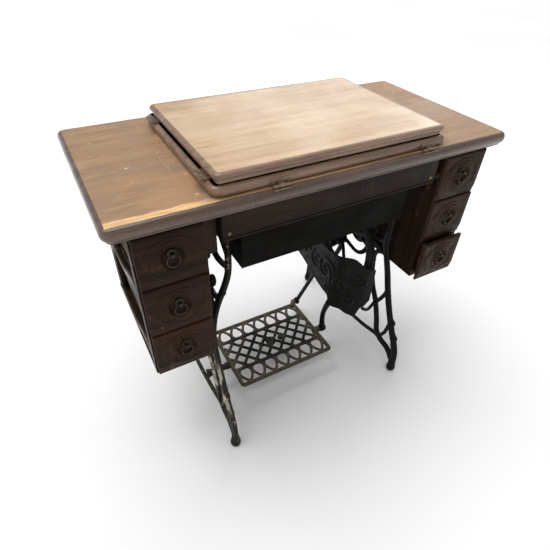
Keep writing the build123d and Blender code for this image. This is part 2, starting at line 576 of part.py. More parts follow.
def make_head():
    y, z = HEAD_AXIS
    top = TABLE_HEIGHT
    bed = block(-BED_HALF_LENGTH, BED_HALF_LENGTH, BED_FRONT, BED_BACK, top - BED_THICK, top)
    bed = fillet(bed.edges().filter_by(Axis.Z), 12)
    fixed_lugs = []
    pins = []
    for x in (-100.0, 100.0):
        tongue = block(x - 10, x + 10, BED_BACK - 4, y, z - 5, z + 5) + rod_x(x - 10, x + 10, y, z, 6)
        bed += tongue - rod_x(x - 11, x + 11, y, z, 3 + RUNNING_GAP)
        bed -= rod_x(x - 11, x + 11, y, z, 3 + RUNNING_GAP)
        pins.append(rod_x(x - 24, x + 24, y, z, 3))
        for x0, x1 in ((x - 24, x - 10.5), (x + 10.5, x + 24)):
            lug = rod_x(x0, x1, y, z, 6) + block(x0, x1, y, WELL_BACK, z - 5, z + 5)
            fixed_lugs.append(lug - rod_x(x0 - 1, x1 + 1, y, z, 3))
    works = block(-150, 150, -20, 60, top - BED_THICK - 24, top - BED_THICK)
    column = Pos(130, 20, top) * extrude(RectangleRounded(78, 84, 20), 40, taper=12)
    column += Pos(130, 20, top) * extrude(Ellipse(32, 30), 190)
    arm = rod_x(-150, 160, 20, 945, 27) + rod_x(160, 171, 20, 940, 20)
    head_end = Pos(-162, 22, 860) * extrude(RectangleRounded(46, 66, 12), 124)
    needle_y, presser_y = 8.0, 36.0
    bar_x = -162.0
    arm += head_end + column
    arm -= rod_z(700, 1100, bar_x, needle_y, 3 + RUNNING_GAP)
    arm -= rod_z(700, 1100, bar_x, presser_y, 3.5 + RUNNING_GAP)
    arm += rod_z(968, 990, -60, 20, 3)
    cover = block(-188.5, -185, -6, 50, 866, 978)
    parts["head_bed"] = stow(bed + works)
    parts["head_arm"] = stow(arm)
    parts["face_plate"] = stow(cover)
    needle = rod_z(806, 996, bar_x, needle_y, 3) + rod_z(800, 816, bar_x, needle_y, 5)
    needle += rod_z(788, 801, bar_x, needle_y, 0.9)
    parts["needle_bar"] = stow(needle)
    foot = block(bar_x - 9, bar_x + 9, presser_y - 26, presser_y + 4, 778, 781)
    foot -= rod_z(770, 790, bar_x, needle_y, 3)
    parts["presser_bar"] = stow(rod_z(780, 992, bar_x, presser_y, 3.5) + foot)
    wheel_y, wheel_z = HANDWHEEL_CENTRE
    wheel = rod_x(173, 193, wheel_y, wheel_z, HANDWHEEL_RADIUS)
    wheel -= rod_x(186, 194, wheel_y, wheel_z, HANDWHEEL_RADIUS - 12) - rod_x(180, 195, wheel_y, wheel_z, 24)
    wheel -= Pos(177, wheel_y, wheel_z) * Rot(0, 90, 0) * Torus(HANDWHEEL_RADIUS + 1, 3.5)
    shaft = 9.0
    wheel -= rod_x(170, 200, wheel_y, wheel_z, shaft + RUNNING_GAP)
    parts["handwheel"] = stow(wheel)
    parts["head_arm"] += stow(rod_x(150, 197, wheel_y, wheel_z, shaft))
    parts["head_hinges"] = Compound(children=fixed_lugs + pins)


def export_all():
    os.makedirs("parts", exist_ok=True)
    for name, shape in parts.items():
        export_step(shape, os.path.join("parts", name + ".step"))
    print(len(parts), "nodes")


make_table()
make_lower_tier()
make_lid()
make_hinges()
make_cases()
make_drawers()
make_under_table()
make_stand()
parts["wheel_bracket"] = make_wheel_bracket()
parts["dress_guard"] = make_dress_guard()
left_hanger, right_hanger = make_treadle_hangers(parts["dress_guard"])
parts["treadle_hangers"] = Compound(children=[left_hanger, right_hanger])
make_treadle()
make_pitman()
make_flywheel()
make_head()
export_all()
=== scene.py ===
"""Treadle sewing machine: the looks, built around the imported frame, in metres.

MM turns millimetres into metres. The front faces -Y and the flywheel is on the right, at +X."""
import math

import bmesh
import bpy
from mathutils import Matrix, Vector


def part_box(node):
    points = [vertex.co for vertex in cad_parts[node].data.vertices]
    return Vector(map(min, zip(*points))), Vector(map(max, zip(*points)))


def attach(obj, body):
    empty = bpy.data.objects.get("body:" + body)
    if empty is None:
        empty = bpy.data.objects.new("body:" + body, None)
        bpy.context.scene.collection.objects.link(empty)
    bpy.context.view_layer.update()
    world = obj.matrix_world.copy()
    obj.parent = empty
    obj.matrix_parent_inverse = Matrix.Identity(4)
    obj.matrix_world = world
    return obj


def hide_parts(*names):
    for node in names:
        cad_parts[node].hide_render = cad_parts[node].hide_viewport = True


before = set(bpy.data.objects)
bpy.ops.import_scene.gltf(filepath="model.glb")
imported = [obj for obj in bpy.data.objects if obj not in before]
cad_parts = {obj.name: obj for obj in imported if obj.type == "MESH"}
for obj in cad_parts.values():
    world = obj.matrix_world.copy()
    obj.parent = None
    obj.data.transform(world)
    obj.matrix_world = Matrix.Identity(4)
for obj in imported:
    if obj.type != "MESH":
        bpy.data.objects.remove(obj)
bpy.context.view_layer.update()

MM = 0.001
SIDES = {"right": 1, "left": -1}
LEVELS = ("bottom", "middle", "top")
SIDE_PLANE = Matrix(((0, 0, 1, 0), (1, 0, 0, 0), (0, 1, 0, 0), (0, 0, 0, 1)))    # u to +Y, v to +Z


def mm(*values):
    """A point from millimetres."""
    return Vector([value * MM for value in values])


def circle(count, start=0.0):
    """(cosine, sine) of evenly spaced directions."""
    angles = [start + 2 * math.pi * step / count for step in range(count)]
    return [(math.cos(angle), math.sin(angle)) for angle in angles]


# ---------------------------------------------------------------- material helpers
def add_node(tree, kind, inputs=None, **settings):
    made = tree.nodes.new(kind)
    for key, value in settings.items():
        setattr(made, key, value)
    for key, value in (inputs or {}).items():
        if isinstance(value, bpy.types.NodeSocket):
            tree.links.new(value, made.inputs[key])
        else:
            made.inputs[key].default_value = value
    return made


def position(tree):
    return add_node(tree, "ShaderNodeTexCoord").outputs["Object"]


def noise_map(tree, scale, detail=4.0, distortion=0.0, turn=(0, 0, 0), shift=(0, 0, 0)):
    """Noise in the object's own coordinates; its scale is one number, or one each for X, Y and Z."""
    scale = scale if isinstance(scale, tuple) else (scale, scale, scale)
    mapped = add_node(tree, "ShaderNodeMapping",
                      {"Vector": position(tree), "Scale": scale, "Rotation": turn, "Location": shift})
    made = add_node(tree, "ShaderNodeTexNoise", {"Vector": mapped.outputs[0], "Scale": 1.0,
                                                "Detail": detail, "Distortion": distortion})
    return made.outputs["Fac"]


def ramp(tree, factor, stops):
    """Colour ramp; each stop is (place, colour or grey level)."""
    made = add_node(tree, "ShaderNodeValToRGB", {"Fac": factor})
    elements = made.color_ramp.elements
    while len(elements) < len(stops):
        elements.new(0.5)
    for element, (place, colour) in zip(elements, stops):
        element.position = place
        if isinstance(colour, (int, float)):
            colour = (colour, colour, colour)
        element.color = (*colour, 1.0)
    return made.outputs["Color"]


def mix(tree, factor, first, second, mode="MIX"):
    made = tree.nodes.new("ShaderNodeMix")
    made.data_type = "RGBA"
    made.blend_type = mode
    for socket, value in ((made.inputs[0], factor), (made.inputs[6], first), (made.inputs[7], second)):
        if isinstance(value, bpy.types.NodeSocket):
            tree.links.new(value, socket)
        elif isinstance(value, tuple):
            socket.default_value = (*value, 1.0)
        else:
            socket.default_value = value
    return made.outputs[2]


def math_node(tree, operation, first, second=0.0):
    made = tree.nodes.new("ShaderNodeMath")
    made.operation = operation
    made.use_clamp = operation == "MULTIPLY"
    for socket, value in ((made.inputs[0], first), (made.inputs[1], second)):
        if isinstance(value, bpy.types.NodeSocket):
            tree.links.new(value, socket)
        else:
            socket.default_value = value
    return made.outputs[0]


def product(tree, first, *others):
    for other in others:
        first = math_node(tree, "MULTIPLY", first, other)
    return first


def smooth_step(tree, value, start, end, low=0.0, high=1.0):
    made = add_node(tree, "ShaderNodeMapRange", {"Value": value, "From Min": start, "From Max": end,
                                                "To Min": low, "To Max": high},
                    interpolation_type="SMOOTHSTEP")
    return made.outputs[0]


def stain(tree, colour, tint, noise, start, end, most):
    """Lay a tint over a colour in patches, where a noise map passes from start to end."""
    return mix(tree, smooth_step(tree, noise, start, end, 0.0, most), colour, tint)


def gloss_map(tree, scale, low, high):
    """Roughness that drifts between two values."""
    return smooth_step(tree, noise_map(tree, scale), 0.35, 0.65, low, high)


def axis_sockets(tree):
    """The object's own X, Y and Z."""
    return add_node(tree, "ShaderNodeSeparateXYZ", {"Vector": position(tree)}).outputs


def painted(material):
    """A finished material's tree, its base colour socket and what feeds that socket."""
    tree = material.node_tree
    socket = tree.nodes["Principled BSDF"].inputs["Base Color"]
    return tree, socket, socket.links[0].from_socket


def new_material(name):
    material = bpy.data.materials.new(name)
    material.use_nodes = True
    return material, material.node_tree, material.node_tree.nodes["Principled BSDF"]


def surface(tree, shader, colour, roughness=None, height=None, strength=0.2, distance=0.001):
    tree.links.new(colour, shader.inputs["Base Color"])
    if roughness is not None:
        tree.links.new(roughness, shader.inputs["Roughness"])
    if height is not None:
        bump = add_node(tree, "ShaderNodeBump", {"Height": height, "Strength": strength,
                                                "Distance": distance})
        tree.links.new(bump.outputs[0], shader.inputs["Normal"])


# ---------------------------------------------------------------- wood
def grain_scale(axis, across, along):
    scale = [across, across, across]
    scale[axis] = along
    return tuple(scale)


def wood_colour(tree, axis, dark, middle, light, mottle):
    """Long grain along one axis, fine pores, and slow colour changes; returns (colour, height)."""
    figure = noise_map(tree, grain_scale(axis, 42.0, 2.6), detail=6.0, distortion=0.6)
    pores = noise_map(tree, grain_scale(axis, 620.0, 22.0), detail=3.0)
    broad = noise_map(tree, grain_scale(axis, 9.0, 3.5), detail=3.0, shift=(3, 1, 2))
    base = ramp(tree, figure, [(0.32, dark), (0.5, middle), (0.70, light)])
    base = mix(tree, mottle, base, ramp(tree, broad, [(0.36, dark), (0.62, light)]), "OVERLAY")
    pored = ramp(tree, pores, [(0.40, 0.55), (0.52, 1.0)])
    return mix(tree, 0.55, base, pored, "MULTIPLY"), pores


def scratches(tree, turn, stretch=70.0, seed=0.0, width=0.006):
    """A few thin lines, as a mask."""
    lines = noise_map(tree, (stretch, 2.2, 2.2), detail=1.0, distortion=0.25, turn=(0, 0, turn),
                      shift=(seed, seed, 0))
    near = math_node(tree, "ABSOLUTE", math_node(tree, "SUBTRACT", lines, 0.5))
    line = smooth_step(tree, near, width, 0.0)
    patch = smooth_step(tree, noise_map(tree, 7, detail=1.0, shift=(seed, 4, 1)), 0.52, 0.62)
    return product(tree, line, patch)


def make_wood(name, axis, dark, middle, light, mottle=0.5, gloss=(0.34, 0.52), worn=None, wear=0.5,
              coat=0.25, specular=0.5):
    material, tree, shader = new_material(name)
    colour, pores = wood_colour(tree, axis, dark, middle, light, mottle)
    if worn:
        lines = scratches(tree, 0.7, seed=axis + 1.0)
        more = scratches(tree, -0.4, seed=axis + 5.0)
        lines = math_node(tree, "MAXIMUM", lines, more)
        colour = mix(tree, product(tree, lines, wear), colour, worn)
        rubbed = noise_map(tree, 26, detail=5.0, shift=(axis, 2, 7))
        colour = stain(tree, colour, worn, rubbed, 0.68, 0.74, wear * 0.7)
    surface(tree, shader, colour, gloss_map(tree, 14, *gloss), pores, 0.12, 0.0004)
    shader.inputs["Specular IOR Level"].default_value = specular
    shader.inputs["Coat Weight"].default_value = coat
    shader.inputs["Coat Roughness"].default_value = 0.22
    return material


RED_DARK = (0.022, 0.0105, 0.0056)
RED_MIDDLE = (0.044, 0.0220, 0.0120)
RED_LIGHT = (0.080, 0.042, 0.024)


def make_table_veneer():
    """Mottled brown veneer, with the varnish gone in a strip along the front left edge."""
    material, tree, shader = new_material("table_veneer")
    colour, pores = wood_colour(tree, 0, (0.330, 0.208, 0.120), (0.385, 0.247, 0.146),
                                (0.440, 0.290, 0.175), 0.12)
    warm = noise_map(tree, (6, 9, 6), distortion=0.6, shift=(4, 7, 0))
    colour = stain(tree, colour, (0.440, 0.250, 0.122), warm, 0.48, 0.68, 0.55)
    grey = noise_map(tree, (8, 13, 8), detail=5.0, distortion=0.8, shift=(1, 3, 5))
    colour = stain(tree, colour, (0.270, 0.195, 0.140), grey, 0.50, 0.66, 0.50)
    dents = noise_map(tree, (42, 95, 40), detail=2.0, shift=(8, 2, 0))
    colour = stain(tree, colour, (0.80, 0.62, 0.42), dents, 0.70, 0.76, 0.8)
    marks = scratches(tree, 1.1, 48.0, 2.0, 0.005)
    colour = mix(tree, product(tree, marks, 0.2), colour, (0.66, 0.50, 0.34))
    place = axis_sockets(tree)
    ragged = noise_map(tree, (30, 90, 10), detail=5.0, shift=(2, 2, 2))
    shifted = math_node(tree, "SUBTRACT", place[1], product(tree, ragged, 0.020))
    strip = smooth_step(tree, shifted, -0.2165, -0.2195)
    left = smooth_step(tree, math_node(tree, "ADD", place[0], product(tree, ragged, 0.12)), -0.20, -0.27)
    fibre = noise_map(tree, (30, 700, 30), detail=3.0)
    bare_colour = ramp(tree, fibre, [(0.36, (0.60, 0.34, 0.15)), (0.55, (0.84, 0.56, 0.28)),
                                     (0.70, (0.92, 0.68, 0.40))])
    colour = mix(tree, product(tree, strip, left), colour, bare_colour)
    rub = noise_map(tree, (9, 16, 9), shift=(6, 1, 0))
    colour = stain(tree, colour, (0.46, 0.33, 0.21), rub, 0.56, 0.72, 0.4)
    surface(tree, shader, colour, gloss_map(tree, 10, 0.40, 0.56), pores, 0.10, 0.0004)
    shader.inputs["Specular IOR Level"].default_value = 0.2
    return material


def make_lid_veneer():
    """Lighter, yellower veneer with straight grain along the lid, and darker and paler clouds."""
    material, tree, shader = new_material("lid_veneer")
    colour, pores = wood_colour(tree, 0, (0.43, 0.270, 0.132), (0.56, 0.375, 0.195),
                                (0.66, 0.470, 0.265), 0.2)
    cloud = noise_map(tree, (5.0, 11.0, 5.0), detail=5.0, distortion=0.8, shift=(1, 8, 0))
    colour = stain(tree, colour, (0.45, 0.280, 0.145), cloud, 0.40, 0.66, 0.40)
    pale = noise_map(tree, (7.0, 5.0, 7.0), shift=(9, 3, 0))
    colour = stain(tree, colour, (0.68, 0.52, 0.34), pale, 0.50, 0.70, 0.45)
    lines = scratches(tree, 0.9, 40.0, 3.0, 0.005)
    colour = mix(tree, product(tree, lines, 0.4), colour, (0.70, 0.55, 0.38))
    surface(tree, shader, colour, gloss_map(tree, 12, 0.25, 0.40), pores, 0.08, 0.0003)
    shader.inputs["Coat Weight"].default_value = 0.5
    shader.inputs["Coat Roughness"].default_value = 0.3
    return material


def make_carved_wood():
    """Drawer fronts: dark red-brown, with a painted highlight on the raised work and painted shade, near
    black, in the hollows.
    """
    material, tree, shader = new_material("carved_wood")
    colour, pores = wood_colour(tree, 0, (0.025, 0.0110, 0.0050), (0.052, 0.0225, 0.0100),
                                (0.088, 0.041, 0.020), 0.6)
    sharp = add_node(tree, "ShaderNodeNewGeometry").outputs["Pointiness"]
    # Painted highlight: paler where the carving is convex, by pointiness.
    colour = stain(tree, colour, (0.15, 0.095, 0.068), sharp, 0.53, 0.62, 0.4)
    # Painted shade: near black where the carving is hollow, by pointiness.
    colour = stain(tree, colour, (0.007, 0.0045, 0.0035), sharp, 0.47, 0.40, 0.7)
    worn = noise_map(tree, 38, detail=5.0, shift=(4, 4, 9))
    colour = stain(tree, colour, (0.15, 0.055, 0.026), worn, 0.66, 0.73, 0.55)
    lines = product(tree, scratches(tree, 0.6, 60.0, 6.0, 0.007), 0.4)
    colour = mix(tree, lines, colour, (0.16, 0.11, 0.085))
    surface(tree, shader, colour, gloss_map(tree, 30, 0.34, 0.52), pores, 0.15, 0.0005)
    shader.inputs["Specular IOR Level"].default_value = 0.1
    return material


# ---------------------------------------------------------------- metals
def make_iron(name, dark, dusty, dust=0.5, worn=(0.30, 0.28, 0.23), wear=0.3, rough=(0.36, 0.62)):
    """Cast iron: lumpy enamel, dust on what faces up, and small bare spots."""
    material, tree, shader = new_material(name)
    blotch = noise_map(tree, 60, detail=6.0)
    colour = ramp(tree, blotch, [(0.35, dark), (0.68, tuple(2.2 * c for c in dark))])
    geometry = add_node(tree, "ShaderNodeNewGeometry")
    up = add_node(tree, "ShaderNodeSeparateXYZ", {"Vector": geometry.outputs["Normal"]}).outputs[2]
    lying = smooth_step(tree, up, 0.15, 0.95)
    broken = smooth_step(tree, noise_map(tree, 110, detail=5.0), 0.34, 0.60, 0.25, 1.0)
    colour = mix(tree, product(tree, lying, broken, dust), colour, dusty)
    chips = noise_map(tree, 75, detail=6.0, shift=(5, 1, 3))
    colour = stain(tree, colour, worn, chips, 0.63, 0.70, wear)
    roughness = smooth_step(tree, blotch, 0.3, 0.7, *rough)
    grit = noise_map(tree, 420, detail=3.0)
    surface(tree, shader, colour, roughness, grit, 0.28, 0.0006)
    shader.inputs["Specular IOR Level"].default_value = 0.13
    return material


def make_treadle_iron():
    """The treadle's iron: bare and dusty round its rim, black in the lattice where feet have oiled it."""
    material = make_iron("treadle_iron", (0.026, 0.022, 0.015), (0.125, 0.105, 0.072), 0.85,
                         (0.20, 0.17, 0.12), 0.5, (0.45, 0.7))
    tree, socket, bare = painted(material)
    place = axis_sockets(tree)
    from_middle = math_node(tree, "ABSOLUTE", math_node(tree, "ADD", place[1], 0.012))
    across = math_node(tree, "ABSOLUTE", math_node(tree, "ADD", place[0], 0.040))
    middle = smooth_step(tree, from_middle, 0.100, 0.045)
    inside = smooth_step(tree, across, 0.158, 0.115)
    patchy = smooth_step(tree, noise_map(tree, 24, shift=(2, 6, 1)), 0.30, 0.60, 0.55, 1.0)
    dark = product(tree, middle, inside, patchy)
    tree.links.new(mix(tree, dark, bare, (0.0080, 0.0070, 0.0050)), socket)
    return material


def make_leg_iron():
    """The left legs: a painted highlight in pale specks on the outer face, a hand's breadth above the feet.
    """
    material = make_iron("leg_iron", (0.0100, 0.0090, 0.0070), (0.060, 0.052, 0.037), 0.75,
                         (0.50, 0.44, 0.33), 0.5)
    tree, socket, enamel = painted(material)
    place = axis_sockets(tree)
    rising = smooth_step(tree, place[2], 0.11, 0.16)
    falling = smooth_step(tree, place[2], 0.29, 0.23)
    outer = smooth_step(tree, place[0], -0.2865, -0.2905)
    patch = smooth_step(tree, noise_map(tree, (30, 30, 22), shift=(3, 3, 3)), 0.44, 0.54)
    highlight_specks = noise_map(tree, 55, detail=3.0)
    pale = ramp(tree, highlight_specks, [(0.38, (0.17, 0.14, 0.075)), (0.62, (0.60, 0.56, 0.46))])
    # Painted highlight: pale specks laid over the enamel on the outer face, from 0.11 to 0.29 m up.
    tree.links.new(mix(tree, product(tree, rising, falling, outer, patch), enamel, pale), socket)
    return material


def make_metal(name, dark, light, metallic=0.9, rough=(0.25, 0.45), scale=90.0):
    material, tree, shader = new_material(name)
    patina = noise_map(tree, scale, detail=6.0)
    colour = ramp(tree, patina, [(0.36, dark), (0.64, light)])
    roughness = smooth_step(tree, patina, 0.3, 0.7, *rough)
    surface(tree, shader, colour, roughness, patina, 0.12, 0.0003)
    shader.inputs["Metallic"].default_value = metallic
    return material


def make_floor_material():
    material, tree, shader = new_material("studio_floor")
    cloud = noise_map(tree, 0.8, detail=2.0)
    surface(tree, shader, ramp(tree, cloud, [(0.3, 0.86), (0.7, 0.90)]))
    shader.inputs["Roughness"].default_value = 0.7
    return material


looks = {
    "table": make_table_veneer(),
    "lid": make_lid_veneer(),
    "edge_x": make_wood("edge_wood", 0, (0.082, 0.048, 0.034), (0.140, 0.086, 0.062), (0.205, 0.132, 0.097),
                        0.4, (0.20, 0.32), (0.24, 0.15, 0.10), 0.2, 0.3, 0.5),
    "lid_edge": make_wood("lid_edge_wood", 0, (0.170, 0.105, 0.068), (0.270, 0.172, 0.114),
                          (0.370, 0.248, 0.170), 0.3, (0.22, 0.34), (0.36, 0.23, 0.15), 0.3, 0.3, 0.5),
    "case": make_wood("case_wood", 2, RED_DARK, RED_MIDDLE, RED_LIGHT, 0.6, (0.36, 0.55),
                      (0.24, 0.16, 0.10), 0.4, 0.0, 0.1),
    "apron": make_wood("apron_wood", 0, (0.017, 0.0090, 0.0055), (0.032, 0.0175, 0.0105),
                       (0.054, 0.031, 0.019), 0.6, (0.36, 0.54), (0.12, 0.08, 0.055), 0.3, 0.0, 0.12),
    "inner": make_wood("inner_wood", 1, (0.045, 0.024, 0.013), (0.085, 0.046, 0.025),
                       (0.14, 0.082, 0.047), 0.5, (0.5, 0.7), None, 0.0, 0.0, 0.2),
    "box": make_wood("dust_box_wood", 0, (0.0040, 0.0033, 0.0021), (0.0070, 0.0057, 0.0037),
                     (0.012, 0.0097, 0.0063), 0.6, (0.48, 0.66), (0.05, 0.038, 0.028), 0.2, 0.0, 0.06),
    "carved": make_carved_wood(),
    "iron": make_iron("black_iron", (0.0038, 0.0034, 0.0028), (0.018, 0.0155, 0.0115), 0.5,
                      (0.12, 0.105, 0.08), 0.2),
    "leg": make_leg_iron(),
    "treadle": make_treadle_iron(),
    "hinge": make_metal("hinge_bronze", (0.150, 0.100, 0.064), (0.270, 0.190, 0.125), 0.4, (0.35, 0.5)),
    "rod": make_metal("rod_steel", (0.030, 0.026, 0.021), (0.085, 0.074, 0.058), 0.6, (0.35, 0.55)),
    "steel": make_metal("polished_steel", (0.30, 0.30, 0.30), (0.52, 0.51, 0.49), 1.0, (0.16, 0.36)),
    "brass": make_metal("aged_brass", (0.10, 0.066, 0.035), (0.24, 0.17, 0.095), 0.8, (0.34, 0.5)),
    "pull": make_metal("pull_bronze", (0.016, 0.012, 0.008), (0.060, 0.047, 0.030), 0.75, (0.30, 0.5), 160.0),
    "japan": make_metal("black_japan", (0.0040, 0.0040, 0.0045), (0.0085, 0.0085, 0.0090), 0.0,
                        (0.08, 0.20), 40.0),
}


# ---------------------------------------------------------------- mesh helpers
def place_object(name, mesh, material, body, replaced=(), sharp=38.0):
    """Link a mesh as a piece, shade it smooth with sharp creases, and give it its body and nodes."""
    made = bpy.data.objects.new(name, mesh)
    bpy.context.scene.collection.objects.link(made)
    mesh.materials.clear()
    mesh.materials.append(material)
    for polygon in mesh.polygons:
        polygon.use_smooth = True
    mesh.set_sharp_from_angle(angle=math.radians(sharp))
    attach(made, body)
    if replaced:
        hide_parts(*replaced)


def mesh_from_shell(name, shell):
    bmesh.ops.recalc_face_normals(shell, faces=shell.faces)
    mesh = bpy.data.meshes.new(name)
    shell.to_mesh(mesh)
    shell.free()
    return mesh


def place_shell(name, shell, material, body, replaced=(), sharp=38.0):
    place_object(name, mesh_from_shell(name, shell), material, body, replaced, sharp)


def evaluated_mesh(data, modifiers=()):
    """The mesh that a curve or mesh gives once the listed modifiers are applied."""
    holder = bpy.data.objects.new("holder", data)
    bpy.context.scene.collection.objects.link(holder)
    for kind, settings in modifiers:
        modifier = holder.modifiers.new(kind, kind)
        for key, value in settings.items():
            setattr(modifier, key, value)
    seen = holder.evaluated_get(bpy.context.evaluated_depsgraph_get())
    mesh = bpy.data.meshes.new_from_object(seen)
    bpy.data.objects.remove(holder)
    return mesh


def cast(mesh, voxel, smoothing=3):
    """Blend overlapping bars into one skin, as a casting has."""
    return evaluated_mesh(mesh, [
        ("REMESH", {"mode": "VOXEL", "voxel_size": voxel}),
        ("SMOOTH", {"factor": 0.5, "iterations": smoothing}),
    ])


def flat_plate(name, outline, holes, thickness, bevel, place):
    """A plate with holes and rounded edges, from outlines in its own (u, v) plane."""
    curve = bpy.data.curves.new(name, "CURVE")
    curve.dimensions = "2D"
    curve.fill_mode = "BOTH"
    curve.extrude = thickness / 2 - bevel
    curve.bevel_depth = bevel
    curve.bevel_resolution = 2
    curve.offset = -bevel
    for loop in [outline] + holes:
        spline = curve.splines.new("POLY")
        spline.points.add(len(loop) - 1)
        for point, (u, v) in zip(spline.points, loop):
            point.co = (u, v, 0, 1)
        spline.use_cyclic_u = True
    mesh = evaluated_mesh(curve)
    mesh.transform(place)
    return mesh


def smooth_line(points):
    """A Catmull-Rom curve through the points."""
    knots = [Vector(point) for point in points]
    knots = knots[:1] + knots + knots[-1:]
    steps = 7
    line = []
    for before, start, end, after in zip(knots, knots[1:], knots[2:], knots[3:]):
        for step in range(steps):
            t = step / steps
            line.append(0.5 * (2 * start + (end - before) * t
                               + (2 * before - 5 * start + 4 * end - after) * t * t
                               + (3 * start - before - 3 * end + after) * t ** 3))
    line.append(knots[-1].copy())
    return line


def bridge(shell, first, second):
    """Faces between two rings; a ring of one point closes the other to a tip."""
    sides = max(len(first), len(second))
    if sides == 1:
        return
    for side in range(sides):
        after = (side + 1) % sides
        if len(first) == 1:
            shell.faces.new((first[0], second[after], second[side]))
        elif len(second) == 1:
            shell.faces.new((first[side], first[after], second[0]))
        else:
            shell.faces.new((first[side], first[after], second[after], second[side]))


def join_rings(shell, rings, closed):
    """Skin a row of rings, and close it into a loop where asked."""
    following = rings[1:] + rings[:1] if closed else rings[1:]
    for first, second in zip(rings, following):
        bridge(shell, first, second)


def fill_grid(shell, grid):
    """Faces over rows of points."""
    for first, second in zip(grid, grid[1:]):
        for index in range(len(first) - 1):
            shell.faces.new((first[index], first[index + 1], second[index + 1], second[index]))


def grid_border(grid):
    """The outermost points of a grid, in order."""
    far = [line[-1] for line in grid[1:]]
    near = [line[0] for line in grid[-2:0:-1]]
    return grid[0] + far + grid[-1][-2::-1] + near


def add_bar(shell, line, width, depth=None, normal=(1, 0, 0), sides=14, closed=False):
    """Sweep a rounded bar, its width and depth in millimetres and its depth along the normal.

    The width may be a function of the share of the bar's length."""
    normal = Vector(normal).normalized()
    count = len(line)
    rings = []
    for index, point in enumerate(line):
        ahead = line[(index + 1) % count] if closed or index + 1 < count else point
        behind = line[index - 1] if closed or index else point
        tangent = (ahead - behind).normalized()
        across = tangent.cross(normal)
        across = across.normalized() if across.length > 1e-6 else Vector((0, 1, 0))
        out = across.cross(tangent).normalized()
        share = index / max(1, count - 1)
        wide = (width(share) if callable(width) else width) * MM
        deep = depth * MM if depth else wide
        rings.append([shell.verts.new(point + (across * (u * wide / 2) + out * (v * deep / 2)))
                      for u, v in circle(sides)])
    join_rings(shell, rings, closed)
    if not closed:
        for ring, inner, outer in ((rings[0], line[1], line[0]), (rings[-1], line[-2], line[-1])):
            wide = (ring[0].co - outer).length
            bridge(shell, ring, [shell.verts.new(outer + (outer - inner).normalized() * wide * 0.6)])


def add_lathe(shell, profile, centre, axis=(1, 0, 0), sides=40, ripple=0.0, ripples=0):
    """Turn a profile of (along, radius) in millimetres about an axis; radius 0 closes an end."""
    axis = Vector(axis).normalized()
    start = axis.orthogonal().normalized()
    other = axis.cross(start)
    rings = []
    for along, radius in profile:
        base = Vector(centre) + axis * (along * MM)
        if radius <= 0:
            rings.append([shell.verts.new(base)])
            continue
        ring = []
        for side in range(sides):
            angle = 2 * math.pi * side / sides
            offset = start * math.cos(angle) + other * math.sin(angle)
            wave = 1 + ripple * math.cos(ripples * angle)
            ring.append(shell.verts.new(base + offset * (radius * MM) * wave))
        rings.append(ring)
    open_ends = len(rings[0]) > 1 and len(rings[-1]) > 1
    join_rings(shell, rings, open_ends and rings[0][0].co != rings[-1][0].co)


def add_box(shell, low, high, bevel=0.0):
    made = bmesh.ops.create_cube(shell, size=1.0)["verts"]
    low, high = Vector(low), Vector(high)
    for vert in made:
        vert.co = Vector([low[i] + (vert.co[i] + 0.5) * (high[i] - low[i]) for i in range(3)])
    if bevel:
        edges = {edge for vert in made for edge in vert.link_edges}
        bmesh.ops.bevel(shell, geom=list(edges), offset=bevel, segments=2, affect="EDGES", profile=0.5)


def spiral(centre, radius, start, turns, steps=40, shrink=0.18):
    """A flat scroll that winds inwards, as (u, v) points."""
    points = []
    for step in range(steps + 1):
        t = step / steps
        size = radius * (1 - t * (1 - shrink))
        angle = start + turns * 2 * math.pi * t
        points.append((centre[0] + size * math.cos(angle), centre[1] + size * math.sin(angle)))
    return points


def soften(width, *node_names):
    """Round the sharp edges of CAD nodes that stay."""
    for node_name in node_names:
        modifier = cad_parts[node_name].modifiers.new("softened", "BEVEL")
        modifier.width = width
        modifier.segments = 2
        modifier.limit_method = "ANGLE"
        modifier.angle_limit = math.radians(50)


def dress(material, *node_names):
    """Give CAD nodes that stay their material."""
    for node_name in node_names:
        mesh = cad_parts[node_name].data
        mesh.materials.clear()
        mesh.materials.append(material)


# ---------------------------------------------------------------- camera, light and floor
def make_camera():
    azimuth = math.radians(30.268)
    pitch = math.radians(40.10)
    roll = math.radians(2.109)
    ahead = Vector((math.sin(azimuth) * math.cos(pitch), math.cos(azimuth) * math.cos(pitch),
                    -math.sin(pitch)))
    right = ahead.cross(Vector((0, 0, 1))).normalized()
    up = right.cross(ahead)
    level = right * math.cos(roll) + up * math.sin(roll)
    upright = up * math.cos(roll) - right * math.sin(roll)
    turn = Matrix((level, upright, -ahead)).transposed()
    data = bpy.data.cameras.new("camera")
    data.lens = 28.34
    data.sensor_width = 36.0
    made = bpy.data.objects.new("camera", data)
    made.matrix_world = Matrix.Translation((-0.5276, -0.8609, 1.1761)) @ turn.to_4x4()
    bpy.context.scene.collection.objects.link(made)
    bpy.context.scene.camera = made


def make_light(name, place, target, size, power):
    data = bpy.data.lights.new(name, "AREA")
    data.shape = "DISK"
    data.size = size
    data.energy = power
    made = bpy.data.objects.new(name, data)
    made.location = place
    aim = Vector(target) - Vector(place)
    made.rotation_euler = aim.to_track_quat("-Z", "Y").to_euler()
    bpy.context.scene.collection.objects.link(made)


